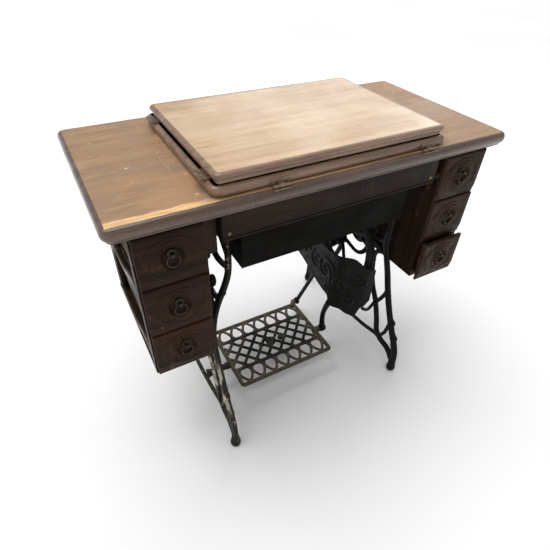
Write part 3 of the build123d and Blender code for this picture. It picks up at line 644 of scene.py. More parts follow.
def make_stage():
    mesh = bpy.data.meshes.new("studio_floor")
    reach = 12.0
    mesh.from_pydata([(-reach, -reach, 0), (reach, -reach, 0), (reach, reach, 0), (-reach, reach, 0)], [],
                     [(0, 1, 2, 3)])
    floor = bpy.data.objects.new("studio_floor", mesh)
    bpy.context.scene.collection.objects.link(floor)
    mesh.materials.append(make_floor_material())
    bpy.context.scene.view_settings.view_transform = "Standard"
    world = bpy.data.worlds.new("studio")
    bpy.context.scene.world = world
    world.use_nodes = True
    world.node_tree.nodes["Background"].inputs["Color"].default_value = (1.0, 0.995, 0.985, 1.0)
    world.node_tree.nodes["Background"].inputs["Strength"].default_value = 0.60
    sun = bpy.data.lights.new("ceiling", "SUN")
    sun.energy = 1.9
    sun.angle = math.radians(50)
    overhead = bpy.data.objects.new("ceiling", sun)
    overhead.rotation_euler = (math.radians(-14), math.radians(-10), 0)
    bpy.context.scene.collection.objects.link(overhead)
    make_light("window", (2.4, 3.2, 2.0), (0.1, 0.0, 0.7), 3.0, 22)
    make_light("corner_window", (3.1, 1.75, 1.95), (0.2, -0.1, 0.8), 1.3, 5)


# ---------------------------------------------------------------- table edge and lid
def rounded_path(points, radius, closed):
    """(place, outward normal) along straight runs with rounded corners, anticlockwise from above."""
    knots = [Vector(point) for point in points]
    count = len(knots)
    steps = 10
    path = []
    for index, corner in enumerate(knots):
        after = knots[(index + 1) % count]
        before = knots[index - 1]
        if not closed and index in (0, count - 1):
            run = (after - corner if index == 0 else corner - before).normalized()
            path.append((corner, Vector((run.y, -run.x))))
            continue
        inward = (corner - before).normalized()
        onward = (after - corner).normalized()
        start = Vector((inward.y, -inward.x))
        end = Vector((onward.y, -onward.x))
        centre = corner - (start + end) * radius
        for step in range(steps + 1):
            angle = math.pi / 2 * step / steps
            outward = start * math.cos(angle) + end * math.sin(angle)
            path.append((centre + outward * radius, outward))
    return path


def place_moulding(name, corners, radius, profile, top, material, body, replaced=(), closed=True):
    """Carry a (out, height) profile round the corners; height is measured from the top."""
    shell = bmesh.new()
    rings = []
    for place, outward in rounded_path(corners, radius, closed):
        ring = []
        for out, height in profile:
            point = place + outward * out
            ring.append(shell.verts.new((point.x, point.y, top + height)))
        rings.append(ring)
    join_rings(shell, rings, closed)
    if not closed:
        shell.faces.new(rings[0])
        shell.faces.new(rings[-1][::-1])
    place_shell(name, shell, looks[material], body, replaced)


def nose(reach, height, joint, foot, back):
    """Profile of a bullnose strip: a V joint beside the veneer, a full round, and a small foot."""
    profile = [(-back, 0.0), (-joint, 0.0), (-joint + 0.5 * MM, -0.9 * MM), (-joint + 1.1 * MM, -0.1 * MM)]
    round_height = height - foot
    steps = 14
    for step in range(steps + 1):
        angle = math.pi / 2 - math.pi * step / steps
        profile.append((reach * math.cos(angle) ** 0.85 if math.cos(angle) > 0 else 0.0,
                        -round_height / 2 + round_height / 2 * math.sin(angle)))
    profile += [(0.25 * reach, -round_height - 0.3 * MM), (0.25 * reach, -height), (-back, -height)]
    return profile


def rectangle(low, high, inset=0.0):
    return [(low.x + inset, low.y + inset), (high.x - inset, low.y + inset), (high.x - inset, high.y - inset),
            (low.x + inset, high.y - inset)]


def make_table_edge():
    low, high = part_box("top_edge_moulding")
    reach = 11 * MM
    profile = nose(reach, high.z - low.z, 1.0 * MM, 3.5 * MM, 9 * MM)
    place_moulding("table_bullnose", rectangle(low, high, reach), 9 * MM, profile, high.z, "edge_x",
                   "cabinet", ["top_edge_moulding"])
    under = [(-4 * MM, 0), (4 * MM, 0), (5.5 * MM, -4 * MM), (1 * MM, -9 * MM), (-4 * MM, -9 * MM)]
    place_moulding("table_under_strip", rectangle(low, high, reach + 9 * MM), 5 * MM, under, low.z + 1 * MM,
                   "case", "cabinet")


def make_table_veneer_sheet():
    """Veneer laid over the board outside the raised tier, in four strips that meet as one surface."""
    low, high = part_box("top_edge_moulding")
    tier_low, tier_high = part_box("lid_border")
    flap_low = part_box("front_flap")[0]
    reach = 11 * MM + 1.0 * MM
    x0, x1 = low.x + reach, high.x - reach
    y0, y1 = low.y + reach, high.y - reach
    cut_x0, cut_x1 = tier_low.x + 6 * MM, tier_high.x - 6 * MM
    cut_y0, cut_y1 = flap_low.y + 14 * MM, tier_high.y - 6 * MM
    shell = bmesh.new()
    top = high.z + 0.25 * MM
    strips = ((x0, cut_x0, y0, y1), (cut_x1, x1, y0, y1), (cut_x0, cut_x1, y0, cut_y0),
              (cut_x0, cut_x1, cut_y1, y1))
    for left, right, front, back in strips:
        add_box(shell, (left, front, top - 0.6 * MM), (right, back, top))
    place_shell("table_veneer", shell, looks["table"], "cabinet")


def make_lid():
    low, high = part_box("lid_edge_moulding")
    reach = 8 * MM
    profile = nose(reach, high.z - low.z, 1.5 * MM, 7.0 * MM, 2.0 * MM)
    place_moulding("lid_bullnose", rectangle(low, high, reach), 6 * MM, profile, high.z, "lid_edge", "lid",
                   ["lid_edge_moulding"])


def make_lower_tier():
    """The fixed moulding round the well, and the hinged flap that closes its front."""
    border_low, border_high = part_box("lid_border")
    flap_low, flap_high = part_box("front_flap")
    reach = 9 * MM
    left = border_low.x + reach
    right = border_high.x - reach
    back = border_high.y - reach
    front = flap_low.y + reach
    gap = 0.8 * MM
    height = border_high.z - border_low.z
    joint_x = flap_low.x
    profile = nose(reach, height, 0.5 * MM, 2.0 * MM, 16 * MM)
    run = [(right, flap_high.y + gap), (right, back), (left, back), (left, front), (joint_x - gap, front)]
    place_moulding("lower_tier", run, 8 * MM, profile, border_high.z, "lid_edge", "cabinet", closed=False)
    run = [(joint_x + gap, front), (right, front), (right, flap_high.y - gap)]
    flap_profile = [(out, rise * (flap_high.z - flap_low.z) / height) for out, rise in profile]
    place_moulding("flap_nose", run, 8 * MM, flap_profile, flap_high.z, "lid_edge", "flap", closed=False)


# ---------------------------------------------------------------- drawers
def bell(value, width):
    return math.exp(-(value / width) ** 2)


def ease(value):
    value = min(1.0, max(0.0, value))
    return value * value * (3 - 2 * value)


def carving(u, v, half_width, half_height):
    """Height of the carved relief over the plain field, in millimetres."""
    edge = min(half_width - abs(u), half_height - abs(v))
    height = -1.8 * (1 - ease(edge / 3.0))
    height -= 3.2 * ease((-v - half_height + 28) / 26)
    oval = math.hypot(u / 52.0, (v - 3) / 45.0)
    height += 2.0 * bell((oval - 1) * 48, 2.6) + 1.2 * ease((1 - oval) * 6)
    height += 0.8 * bell((oval - 0.86) * 48, 1.5)
    radius = math.hypot(u, v - 4)
    height += 1.6 * bell(radius - 27.5, 2.0)
    height -= 6.0 * ease((25.0 - radius) / 8.0)
    height += 1.2 * bell(radius - 9.0, 2.2)
    angle = math.degrees(math.atan2(v - 2, u))
    brow = ease((angle - 48) / 10) * ease((132 - angle) / 10)
    height += 2.0 * bell(math.hypot(u, v - 2) - 37.0, 1.5) * brow
    lip = ease((-angle - 55) / 12) * ease((125 + angle) / 12)
    height += 1.8 * bell(radius - 31.5, 2.6) * lip
    for side in (-1, 1):
        leaf_u = (u - side * 57) * side
        height += 1.3 * bell(leaf_u + abs(v) * 0.12, 2.6) * ease((34 - abs(v)) / 14)
    return height


def make_drawer_front(prefix, body):
    """The carved front, as a fine grid raised by the carving, with plain sides and back."""
    low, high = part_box(prefix + "drawer_front")
    middle = (low + high) / 2
    half_width = (high.x - low.x) / 2 / MM
    half_height = (high.z - low.z) / 2 / MM
    columns, rows = 84, 76
    field = low.y + 1.6 * MM
    shell = bmesh.new()
    grid = []
    for row in range(rows + 1):
        v = -half_height + 2 * half_height * row / rows
        line = []
        for column in range(columns + 1):
            u = -half_width + 2 * half_width * column / columns
            rise = carving(u, v, half_width, half_height)
            line.append(shell.verts.new((middle.x + u * MM, field - rise * MM, middle.z + v * MM)))
        grid.append(line)
    fill_grid(shell, grid)
    rim = grid_border(grid)
    back = [shell.verts.new((vert.co.x, high.y - 0.4 * MM, vert.co.z)) for vert in rim]
    bridge(shell, rim, back)
    shell.faces.new(back)
    place_shell(prefix + "carved_front", shell, looks["carved"], body, [prefix + "drawer_front"])


def make_pull(prefix, body, ring_body):
    """Turned boss with a petal collar, and a drop ring with a thickened foot."""
    low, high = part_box(prefix + "pull_boss")
    centre = Vector(((low.x + high.x) / 2, high.y, (low.z + high.z) / 2))
    shell = bmesh.new()
    reach = (high.y - low.y) / MM
    collar = [(0, 0), (0, 9), (1.2, 9), (2.2, 7.4), (2.6, 5.2)]
    knob = [(0.55 * reach, 3.4), (0.8 * reach, 3.2), (0.93 * reach, 3.9), (reach, 2.6), (reach + 0.6, 0)]
    add_lathe(shell, collar + knob, centre, (0, -1, 0), 40, 0.05, 8)
    place_shell(prefix + "rosette", shell, looks["pull"], body, [prefix + "pull_boss"])
    ring_low, ring_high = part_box(prefix + "pull_ring")
    middle = (ring_low + ring_high) / 2
    radius = (ring_high.z - ring_low.z) / 2 - 1.6 * MM
    line = [middle + Vector((radius * x, 0, radius * z)) for x, z in circle(48, math.pi / 2)]
    shell = bmesh.new()
    add_bar(shell, line, lambda t: 2.9 + 1.7 * bell(t - 0.5, 0.17), None, (0, 1, 0), 12, True)
    place_shell(prefix + "drop_ring", shell, looks["pull"], ring_body, [prefix + "pull_ring"])


def make_drawers():
    for side in SIDES:
        for level in LEVELS:
            prefix = f"{side}_{level}_"
            body = prefix + "drawer"
            make_drawer_front(prefix, body)
            make_pull(prefix, body, prefix + "ring")
            dress(looks["inner"], prefix + "drawer_box")
            soften(0.8 * MM, prefix + "drawer_box")


def bend(before, corner, after, reach):
    """Points of a curve round a corner, which starts and ends a reach away from it."""
    start = corner + (before - corner).normalized() * reach
    end = corner + (after - corner).normalized() * reach
    steps = 8
    points = []
    for step in range(steps + 1):
        t = step / steps
        points.append(start * (1 - t) ** 2 + corner * 2 * t * (1 - t) + end * t * t)
    return points


# ---------------------------------------------------------------- cases and apron
def rounded_loop(points, radius):
    """Closed outline with its corners rounded."""
    knots = [Vector(point) for point in points]
    loop = []
    for index, corner in enumerate(knots):
        before = knots[index - 1]
        after = knots[(index + 1) % len(knots)]
        reach = min(radius, (before - corner).length * 0.48, (after - corner).length * 0.48)
        loop += [tuple(point) for point in bend(before, corner, after, reach)]
    return loop


def side_opening(low, high, front, back):
    """Opening of the case side; its sill rises in a curve towards the front, where it ends in a curl."""
    sill = []
    steps = 16
    for step in range(steps + 1):
        t = step / steps
        sill.append((back - (back - front) * t, low + (high - low) * 0.30 * ease((t - 0.35) / 0.65) ** 1.3))
    corner = 38 * MM
    outline = sill[1:]
    for middle, first in ((front + corner, math.pi), (back - corner, math.pi / 2)):
        for step in range(9):
            angle = first - math.pi / 2 * step / 8
            outline.append((middle + corner * math.cos(angle), high - corner + corner * math.sin(angle)))
    outline.append(sill[0])
    return outline, sill


def make_case_side(side):
    sign = SIDES[side]
    low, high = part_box(side + "_case_outer_side")
    outer = high.x if sign > 0 else low.x
    openings = [side_opening(384 * MM, 530 * MM, -173 * MM, 97 * MM),
                side_opening(556 * MM, 706 * MM, -173 * MM, 97 * MM)]
    outline = rounded_loop([(low.y, low.z), (high.y, low.z), (high.y, high.z), (low.y, high.z)], 2 * MM)
    place = Matrix.Translation(((low.x + high.x) / 2, 0, 0)) @ SIDE_PLANE
    holes = [opening for opening, sill in openings]
    mesh = flat_plate("side", outline, holes, high.x - low.x, 1.6 * MM, place)
    place_object(side + "_case_side", mesh, looks["case"], "cabinet", [side + "_case_outer_side"])
    shell = bmesh.new()
    face = outer + sign * 0.2 * MM
    for opening, sill in openings:
        for drop, path, width, depth in ((5, sill, 4.0, 5.0), (12, sill[:-1], 2.4, 3.5)):
            add_bar(shell, [Vector((face, y, z - drop * MM)) for y, z in path], width, depth)
        end_y, end_z = sill[-1]
        curl = spiral((end_y - 1 * MM, end_z - 11 * MM), 7 * MM, math.pi / 2, 1.3, 30, 0.25)
        add_bar(shell, [Vector((face, y, z)) for y, z in curl], 3.2, 4.6)
    place_shell(side + "_side_beads", shell, looks["edge_x"], "cabinet")
    shell = bmesh.new()
    near_x, far_x = sorted((outer, outer + sign * 2.5 * MM))
    for back, top in ((high.y, low.z + 9 * MM), (low.y + 24 * MM, high.z - 12 * MM)):
        add_box(shell, (near_x, low.y, low.z), (far_x, back, top), 1.0 * MM)
    place_shell(side + "_side_frame_strips", shell, looks["case"], "cabinet")


def make_cases():
    for side in SIDES:
        make_case_side(side)
    dress(looks["case"], "case_inner_sides", "case_backs")
    dress(looks["inner"], "case_shelves")
    soften(1.0 * MM, "case_inner_sides", "case_backs", "case_shelves")


def make_apron():
    low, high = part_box("front_apron")
    dress(looks["apron"], "front_apron")
    dress(looks["case"], "under_rails")
    dress(looks["box"], "dust_box")
    soften(1.5 * MM, "front_apron", "dust_box")
    soften(1.2 * MM, "under_rails")
    shell = bmesh.new()
    ends = [Vector((x, low.y, low.z + 4 * MM)) for x in (low.x + 2 * MM, high.x - 2 * MM)]
    add_bar(shell, ends, 5, 4, (0, 1, 0))
    place_shell("apron_bead", shell, looks["apron"], "cabinet")
    shell = bmesh.new()
    for x in (low.x + 14 * MM, high.x - 14 * MM):
        add_lathe(shell, [(0, 0), (0, 4), (1.0, 3.6), (1.6, 0)], (x, low.y, low.z + 16 * MM), (0, -1, 0), 20)
    place_shell("apron_screws", shell, looks["brass"], "cabinet")


# ---------------------------------------------------------------- cast-iron stand
LEG_X = 287 * MM
LEG_TOP_X = 240 * MM
LEAN_BOTTOM = 340 * MM
LEAN_TOP = 550 * MM


def frame_x(z):
    """Distance of the side frame from the middle at a height: wide at the floor, narrow at the top."""
    margin = 25 * MM
    share = (z - LEAN_BOTTOM + margin) / (LEAN_TOP - LEAN_BOTTOM + 2 * margin)
    return LEG_X + (LEG_TOP_X - LEG_X) * ease(share)


def frame_line(points, sign, flip=1):
    """Millimetre (y, z) points of the right frame as a smooth 3-D line on either frame."""
    flat = smooth_line([(flip * y * MM, z * MM) for y, z in points])
    return [Vector((sign * frame_x(point.y), point.x, point.y)) for point in flat]


# Bars of a frame's front half: (y, z) points in millimetres, then the width at each end before BAR_SWELL.
BAR_SWELL = 1.22
LEG_BARS = (
    ([(-260, 16), (-255, 86), (-223, 151), (-192, 215), (-166, 281), (-148, 340), (-139, 395), (-140, 448),
      (-151, 500), (-160, 556), (-160, 650), (-160, 745)], 23.0, 13.0),
    ([(-252, 40), (-228, 66), (-186, 76), (-162, 96), (-150, 140), (-128, 200), (-100, 250), (-84, 300),
      (-80, 350), (-96, 388), (-134, 410)], 20.0, 12.0),
    ([(-178, 82), (-198, 120), (-207, 168)], 11.0, 9.0),
    ([(-130, 200), (-150, 236), (-165, 276)], 12.0, 10.0),
    ([(-153, 486), (-132, 458), (-104, 450), (-66, 462), (-34, 494), (0, 536)], 14.0, 11.0),
    ([(-158, 600), (-120, 640), (-96, 690), (-92, 744)], 11.0, 9.0),
    ([(-158, 560), (-100, 548), (-50, 566), (0, 600)], 10.0, 9.0),
    ([(-140, 400), (-96, 430), (-50, 424), (-20, 410), (0, 404)], 14.0, 18.0),
    ([(-84, 340), (-60, 372), (-26, 392), (0, 400)], 12.0, 16.0),
)
# Centre (y, z), radius, first angle in radians, turns.
SCROLLS = (((-92, 474), 17, -0.4, 1.35), ((-133, 436), 13, 1.9, 1.2), ((-128, 702), 22, 2.6, 1.4),
           ((-40, 520), 14, 0.6, 1.3), ((-62, 640), 24, -0.8, 1.5), ((-24, 700), 17, 2.0, 1.3))
# Centre y and z, radius.
LEAF_CURLS = ((-239, 128, 15), (-217, 178, 12), (-246, 96, 10))
# The web low on the left frame, between its two outer bars.
LEFT_WEB = [(-246, 62), (-232, 104), (-212, 160), (-188, 225)]


def front_bars(side, depth):
    """(points, width, depth) of the bars of a frame's front half; the back half mirrors it."""
    bars = []
    for points, start, end in LEG_BARS:
        bars.append((points, lambda t, start=start, end=end: BAR_SWELL * (start + (end - start) * t), depth))
    if side == "left":
        bars.append((LEFT_WEB, lambda t: 14 + 44 * t * (1.35 - t), depth * 0.75))
    for centre, radius, start, turns in SCROLLS:
        bars.append((spiral(centre, radius, start, turns, 12), 7.5, depth * 0.6))
    for y, z, size in LEAF_CURLS:
        bars.append((spiral((y, z), size, 0.2, 1.3, 12), 8, depth * 0.8))
    return bars


def make_side_frame(side):
    sign = SIDES[side]
    shell = bmesh.new()
    depth = 16
    for points, width, bar_depth in front_bars(side, depth):
        for flip in (1, -1):
            add_bar(shell, frame_line(points, sign, flip), width, bar_depth)
    hub = [(24 * y, 400 + 24 * z) for y, z in circle(30)]
    add_bar(shell, [Vector((sign * frame_x(z * MM), y * MM, z * MM)) for y, z in hub], 22, depth * 0.8,
            closed=True)
    front = [(-252, 40), (-215, 66), (-165, 78), (-90, 62)]
    stretcher = front + [(0, 54)] + [(-y, z) for y, z in front[::-1]]
    add_bar(shell, frame_line(stretcher, sign), 15, depth * 0.8)
    add_bar(shell, frame_line([(0, 532), (0, 640), (0, 745)], sign), 14, depth * 0.7)
    for y in (-260, 260):
        add_lathe(shell, [(0, 0), (0, 10), (2.5, 13.5), (9, 15), (17, 14.5), (28, 12), (40, 10), (42, 0)],
                  (sign * LEG_X, y * MM, 0), (0, 0, 1), 28)
    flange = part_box(side + "_side_frame")[1].z
    middle = sign * LEG_TOP_X
    half = mm(14, 186)
    add_box(shell, (middle - half.x, -half.y, flange - 8 * MM), (middle + half.x, half.y, flange), 1.5 * MM)
    mesh = cast(mesh_from_shell("frame", shell), 2.4 * MM, 4)
    for vert in mesh.vertices:
        vert.co.z = min(max(vert.co.z, 0.0), flange)
    place_object(side + "_cast_frame", mesh, looks["leg" if side == "left" else "iron"], "cabinet",
                 [side + "_side_frame"], 80)


def make_rear_brace():
    low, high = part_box("rear_brace")
    middle = (low + high) / 2
    across = (0, 1, 0)
    shell = bmesh.new()
    for z in (low.z + 6 * MM, high.z - 6 * MM):
        add_bar(shell, [Vector((x, middle.y, z)) for x in (low.x, high.x)], 12, 9, across)
    for sign in (1, -1):
        route = ((low.x + 8 * MM, -40), (low.x * 0.45, -30), (0, 0), (high.x * 0.45, 30),
                 (high.x - 8 * MM, 40))
        line = smooth_line([(x, middle.y, middle.z + sign * rise * MM) for x, rise in route])
        add_bar(shell, line, 10, 8, across)
    ring = [Vector((26 * MM * x, middle.y, middle.z + 26 * MM * z)) for x, z in circle(36)]
    add_bar(shell, ring, 8, 8, across, closed=True)
    mesh = cast(mesh_from_shell("brace", shell), 2.4 * MM, 3)
    place_object("cast_rear_brace", mesh, looks["iron"], "cabinet", ["rear_brace"], 80)


# ---------------------------------------------------------------- dress guard
GUARD_X = 138 * MM
GUARD_PLAN = ((138, 152), (138, -92), (198, -160), (218, -160))


def guard_plan(count):
    """Evenly spaced (place, outward normal) along the guard's plan, from its back end to its front end."""
    knots = [mm(*point) for point in GUARD_PLAN]
    line = [knots[0], *bend(*knots[:3], 26 * MM), *bend(*knots[1:], 12 * MM), knots[-1]]
    lengths = [0.0]
    for first, second in zip(line, line[1:]):
        lengths.append(lengths[-1] + (second - first).length)
    total = lengths[-1]
    placed = []
    for index in range(count + 1):
        want = total * index / count
        span = max(i for i in range(len(line) - 1) if lengths[i] <= want + 1e-9)
        run = line[span + 1] - line[span]
        part = (want - lengths[span]) / run.length
        forward = run.normalized()
        placed.append((line[span] + run * part, Vector((forward.y, -forward.x))))
    return placed, total


def guard_outline(share):
    """(bottom, top) of the guard at a share of its length, in metres."""
    bottoms = ((0, 296), (0.60, 240), (0.64, 208), (0.74, 214), (0.83, 200), (0.88, 196), (0.93, 240),
               (1, 262))
    tops = ((0, 396), (0.55, 402), (0.62, 404), (0.80, 412), (0.92, 392), (1, 382))
    found = []
    for table in (bottoms, tops):
        for (s0, z0), (s1, z1) in zip(table, table[1:]):
            if share <= s1 or s1 == 1:
                found.append((z0 + (z1 - z0) * ease((share - s0) / (s1 - s0))) * MM)
                break
    return found


def make_guard():
    """The guard's plate and rim; returns its shell, its length and a function that gives points on it."""
    columns, rows = 110, 30
    placed, total = guard_plan(columns)
    half_thick = 2.5 * MM
    shell = bmesh.new()
    skins = []
    for push in (half_thick, -half_thick):
        grid = []
        for index, (place, outward) in enumerate(placed):
            bottom, top = guard_outline(index / columns)
            point = place - outward * push
            grid.append([shell.verts.new((point.x, point.y, bottom + (top - bottom) * row / rows))
                         for row in range(rows + 1)])
        fill_grid(shell, grid)
        skins.append(grid_border(grid))
    bridge(shell, *skins)

    def on_face(share, z, lift=3.0):
        index = min(columns, max(0, round(share * columns)))
        place, outward = placed[index]
        point = place + outward * (lift * MM)
        return Vector((point.x, point.y, z))

    rim = [on_face(i / columns, guard_outline(i / columns)[1], 0.0) for i in range(columns + 1)]
    rim += [on_face(1 - i / columns, guard_outline(1 - i / columns)[0], 0.0) for i in range(columns + 1)]
    add_bar(shell, rim, 8, None, (0, 0.2, 1), 12, True)
    return shell, total, on_face


# Centre as a share of the guard's length, its height, radius, first angle in radians, turns.
GUARD_SCROLLS = (
    (0.54, 330, 44, 0.4, 1.7), (0.70, 300, 34, 2.6, 1.7), (0.82, 262, 28, 0.2, 1.6),
    (0.88, 345, 26, 3.4, 1.5), (0.40, 330, 34, 2.2, 1.6), (0.24, 345, 32, 0.8, 1.6),
    (0.71, 375, 22, -0.8, 1.5), (0.60, 262, 20, 1.2, 1.3), (0.10, 345, 24, 3.0, 1.4))


def make_guard_piece():
    shell, total, on_face = make_guard()
    for centre_share, centre_z, radius, start, turns in GUARD_SCROLLS:
        line = []
        for u, v in spiral((centre_share * total, centre_z * MM), radius * MM, start, turns, 46, 0.12):
            share = u / total
            bottom, top = guard_outline(min(1, max(0, share)))
            line.append(on_face(share, min(top - 2 * MM, max(bottom + 2 * MM, v))))
        add_bar(shell, line, 8, None, (0.3, 0.2, 1), 10)
    for stay in (((138, 148, 302), (200, 152, 300), (280, 152, 304)),
                 ((202, -158, 232), (236, -150, 206), (280, -130, 203))):
        add_bar(shell, smooth_line([mm(*point) for point in stay]), 11, None, (0, 0, 1))
    mesh = cast(mesh_from_shell("guard", shell), 2.2 * MM, 3)
    place_object("cast_dress_guard", mesh, looks["iron"], "cabinet", ["dress_guard"], 80)


# ---------------------------------------------------------------- treadle and its linkage
def teardrop(x, y, width, length, point_to):
    """Drop-shaped loop, its point towards the front (-1) or the back (+1)."""
    loop = []
    for along, wide in circle(28):
        wide *= 1 - 0.42 * along
        loop.append((x + wide * width / 2, y + point_to * along * length / 2))
    return loop


def add_treadle_lattice(shell, x0, x1, z):
    """A band of drops at the front and at the back, and crossing diagonals between them."""
    drops = 7
    pitch = (x1 - x0) / drops
    thick = 8
    for index in range(drops):
        x = x0 + pitch * (index + 0.5)
        for y, point_to in ((-98 * MM, -1), (74 * MM, 1)):
            loop = teardrop(x, y, pitch * 0.86, 52 * MM, point_to)
            add_bar(shell, [Vector((u, v, z)) for u, v in loop], 9.5, thick, (0, 0, 1), 10, True)
    front, back = TREADLE_BARS
    lean = pitch * 2.5
    for index in range(-3, drops + 3):
        for direction in (-1, 1):
            start = x0 + pitch * (index + 0.5) + (0 if direction > 0 else lean)
            ends = Vector((start, front, z)), Vector((start + direction * lean, back, z))
            clipped = clip_x(*ends, x0 - 4 * MM, x1 + 4 * MM)
            if clipped:
                add_bar(shell, clipped, 11, thick, (0, 0, 1), 10)


def clip_x(start, end, low, high):
    """The part of a straight run that lies between two values of x."""
    run = end - start
    first = max(0.0, min((low - start.x) / run.x, (high - start.x) / run.x))
    last = min(1.0, max((low - start.x) / run.x, (high - start.x) / run.x))
    if last - first < 0.08:
        return None
    return [start + run * first, start + run * last]


TREADLE_BARS = (-72 * MM, 48 * MM)
TREADLE_LOW = mm(-205, -137)
TREADLE_HIGH = mm(125, 110)
TREADLE_AXIS = (-40 * MM, 60 * MM)
EAR = Vector((148 * MM, 128 * MM, 48 * MM))


def make_treadle():
    axis_y, z = TREADLE_AXIS
    left = TREADLE_LOW.x
    right, back = TREADLE_HIGH
    up = (0, 0, 1)
    shell = bmesh.new()
    add_treadle_lattice(shell, left + 12 * MM, right - 12 * MM, z)
    rim = rounded_loop(rectangle(TREADLE_LOW, TREADLE_HIGH, 5 * MM), 9 * MM)
    add_bar(shell, [Vector((x, y, z)) for x, y in rim], 13, 13, up, 12, True)
    for y in TREADLE_BARS:
        add_bar(shell, [Vector((x, y, z)) for x in (left + 8 * MM, right - 8 * MM)], 12, 10, up)
    for x, reach in ((-76, 9), (-40, 17), (-4, 9)):
        add_lathe(shell, [(-4, 0), (-4, reach), (4, reach), (4, 0)], (x * MM, -12 * MM, z), up, 28)
    add_lathe(shell, [(0, 0), (0, 10), (4, 12), (22, 11), (26, 8), (26, 0)], (right - 14 * MM, axis_y, z),
              sides=24)
    for x, length in ((right, 40), (left - 14 * MM, 26)):
        add_lathe(shell, [(0, 0), (0, 4), (length, 4), (length, 0)], (x, axis_y, z), sides=16)
    arm = [(right - 14 * MM, back - 12 * MM, z), (right - 4 * MM, back + 4 * MM, z - 4 * MM),
           EAR - mm(17, 2, 0)]
    add_bar(shell, smooth_line(arm), 17, None, up)
    add_lathe(shell, [(0, 0), (0, 8), (3, 10), (11, 10), (14, 8), (14, 4), (26, 4), (27, 0)],
              EAR - mm(21, 0, 0), sides=24)
    mesh = cast(mesh_from_shell("treadle", shell), 1.7 * MM, 2)
    place_object("lattice_treadle", mesh, looks["treadle"], "treadle", ["treadle_plate"], 80)


def make_hangers():
    axis_y, z = TREADLE_AXIS
    boss = TREADLE_HIGH.x + 24 * MM
    bore = 4.1
    shell = bmesh.new()
    add_lathe(shell, [(0, bore), (0, 11), (5, 12), (14, 10), (50, 9), (64, 12), (72, 15), (72, bore)],
              (TREADLE_LOW.x - 2 * MM, axis_y, z), (-1, 0, 0), 28)
    place_shell("left_treadle_hanger", shell, looks["leg"], "cabinet")
    shell = bmesh.new()
    add_lathe(shell, [(-10, bore), (-10, 11), (-7, 13), (7, 13), (10, 11), (11, 0), (10.5, 0), (8, bore)],
              (boss, axis_y, z), sides=28)
    route = smooth_line([(boss, axis_y, z + 10 * MM), (boss + 1 * MM, axis_y + 5 * MM, 92 * MM),
                         (boss, axis_y + 3 * MM, 128 * MM), (boss - 5 * MM, axis_y - 12 * MM, 172 * MM),
                         (GUARD_X, axis_y - 32 * MM, 214 * MM)])
    add_bar(shell, route, lambda t: 21 - 4 * math.sin(math.pi * t), None, (0, 0.2, 1))
    place_shell("right_treadle_hanger", shell, looks["iron"], "cabinet", ["treadle_hangers"],
                60)


def make_pitman():
    low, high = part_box("pitman_rod")
    top = Vector(((low.x + high.x) / 2, low.y + 13 * MM, high.z - 13 * MM))
    bottom = Vector((top.x, EAR.y, EAR.z))
    along = (top - bottom).normalized()
    start = bottom + along * 9 * MM
    end = top - along * 11 * MM
    shell = bmesh.new()
    add_bar(shell, [start + (end - start) * (i / 16) for i in range(17)],
            lambda t: 17.5 - 3.0 * math.sin(math.pi * t) ** 0.6, 9.4)
    for centre, bore, radius in ((bottom, 4.1, 13), (top, 6.1, 14)):
        eye = [(-5, bore), (-5, radius - 1), (-3.6, radius), (3.6, radius), (5, radius - 1), (5, bore)]
        add_lathe(shell, eye, centre, sides=32)
    place_shell("pitman", shell, looks["iron"], "pitman", ["pitman_rod"])


WHEEL = mm(210, 8, 400)
WHEEL_RADIUS = 155


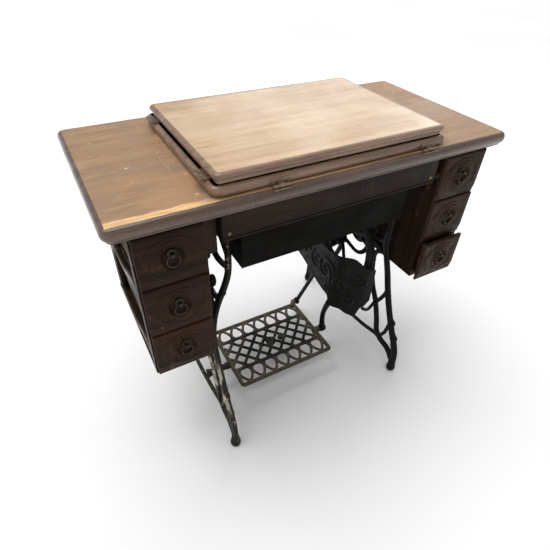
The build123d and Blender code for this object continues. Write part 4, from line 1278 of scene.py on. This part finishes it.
def make_flywheel():
    shell = bmesh.new()
    r = WHEEL_RADIUS
    half_rim = [(-11, r - 14), (-11, r - 2), (-9, r), (-4.5, r), (-3, r - 3)]
    other_half = [(-along, radius) for along, radius in half_rim[::-1]]
    add_lathe(shell, half_rim + other_half + [(8, r - 19), (-8, r - 19)], WHEEL, sides=120)
    spokes = 6
    for index in range(spokes):
        turn = math.radians(360 / spokes * index + 157)
        line = []
        for step in range(21):
            t = step / 20
            radius = 14 + (r - 28) * t
            angle = turn + 0.42 * math.sin(math.pi * t)
            line.append(WHEEL + mm(0, radius * math.cos(angle), radius * math.sin(angle)))
        add_bar(shell, line, lambda t: 15 - 4 * math.sin(math.pi * min(1, t * 1.15)), 10)
    add_lathe(shell, [(-14, 8.2), (-14, 20), (-10, 24), (10, 24), (13, 20), (13, 8.2)], WHEEL)
    place_shell("spoked_flywheel", shell, looks["iron"], "flywheel", ["flywheel"], 45)
    dress(looks["rod"], "crankshaft")


def make_bracket():
    low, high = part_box("wheel_bracket")
    x = low.x + 8.5 * MM
    shell = bmesh.new()
    hub = Vector((x, WHEEL.y, WHEEL.z))
    top = high.z - 8 * MM
    arm = [hub + mm(0, 0, 16), hub + mm(0, -5, 70), hub + mm(0, 4, 125), (x + 3 * MM, WHEEL.y, top)]
    add_bar(shell, smooth_line(arm), lambda t: 32 - 8 * math.sin(math.pi * t), 15)
    add_bar(shell, [Vector((end, 2 * MM, top)) for end in (x, high.x)], 24, 13, (0, 0, 1))
    add_lathe(shell, [(-8, 8.1), (-8, 20), (-6, 22), (6, 22), (8, 20), (8, 8.1)], hub, sides=36)
    place_shell("wheel_bearing_arm", shell, looks["iron"], "cabinet", ["wheel_bracket"], 60)


# ---------------------------------------------------------------- what stays as the CAD made it
def dress_small_parts():
    heads = ("head_bed", "head_arm", "handwheel")
    leaves = ("lid_hinge_leaves", "flap_hinge_leaves", "fixed_hinge_leaves")
    dress(looks["table"], "table_top")
    dress(looks["lid"], "lid_panel")
    dress(looks["lid_edge"], "lid_border", "front_flap")
    dress(looks["hinge"], *leaves)
    dress(looks["steel"], "hinge_pins", "stand_screws", "face_plate", "needle_bar", "presser_bar",
          "head_hinges")
    dress(looks["japan"], *heads)
    soften(1.6 * MM, *heads)
    soften(0.4 * MM, "face_plate", *leaves)


make_camera()
make_stage()
make_table_edge()
make_table_veneer_sheet()
make_lid()
make_lower_tier()
make_drawers()
make_cases()
make_apron()
for frame_side in SIDES:
    make_side_frame(frame_side)
make_rear_brace()
make_guard_piece()
make_treadle()
make_hangers()
make_pitman()
make_flywheel()
make_bracket()
dress_small_parts()
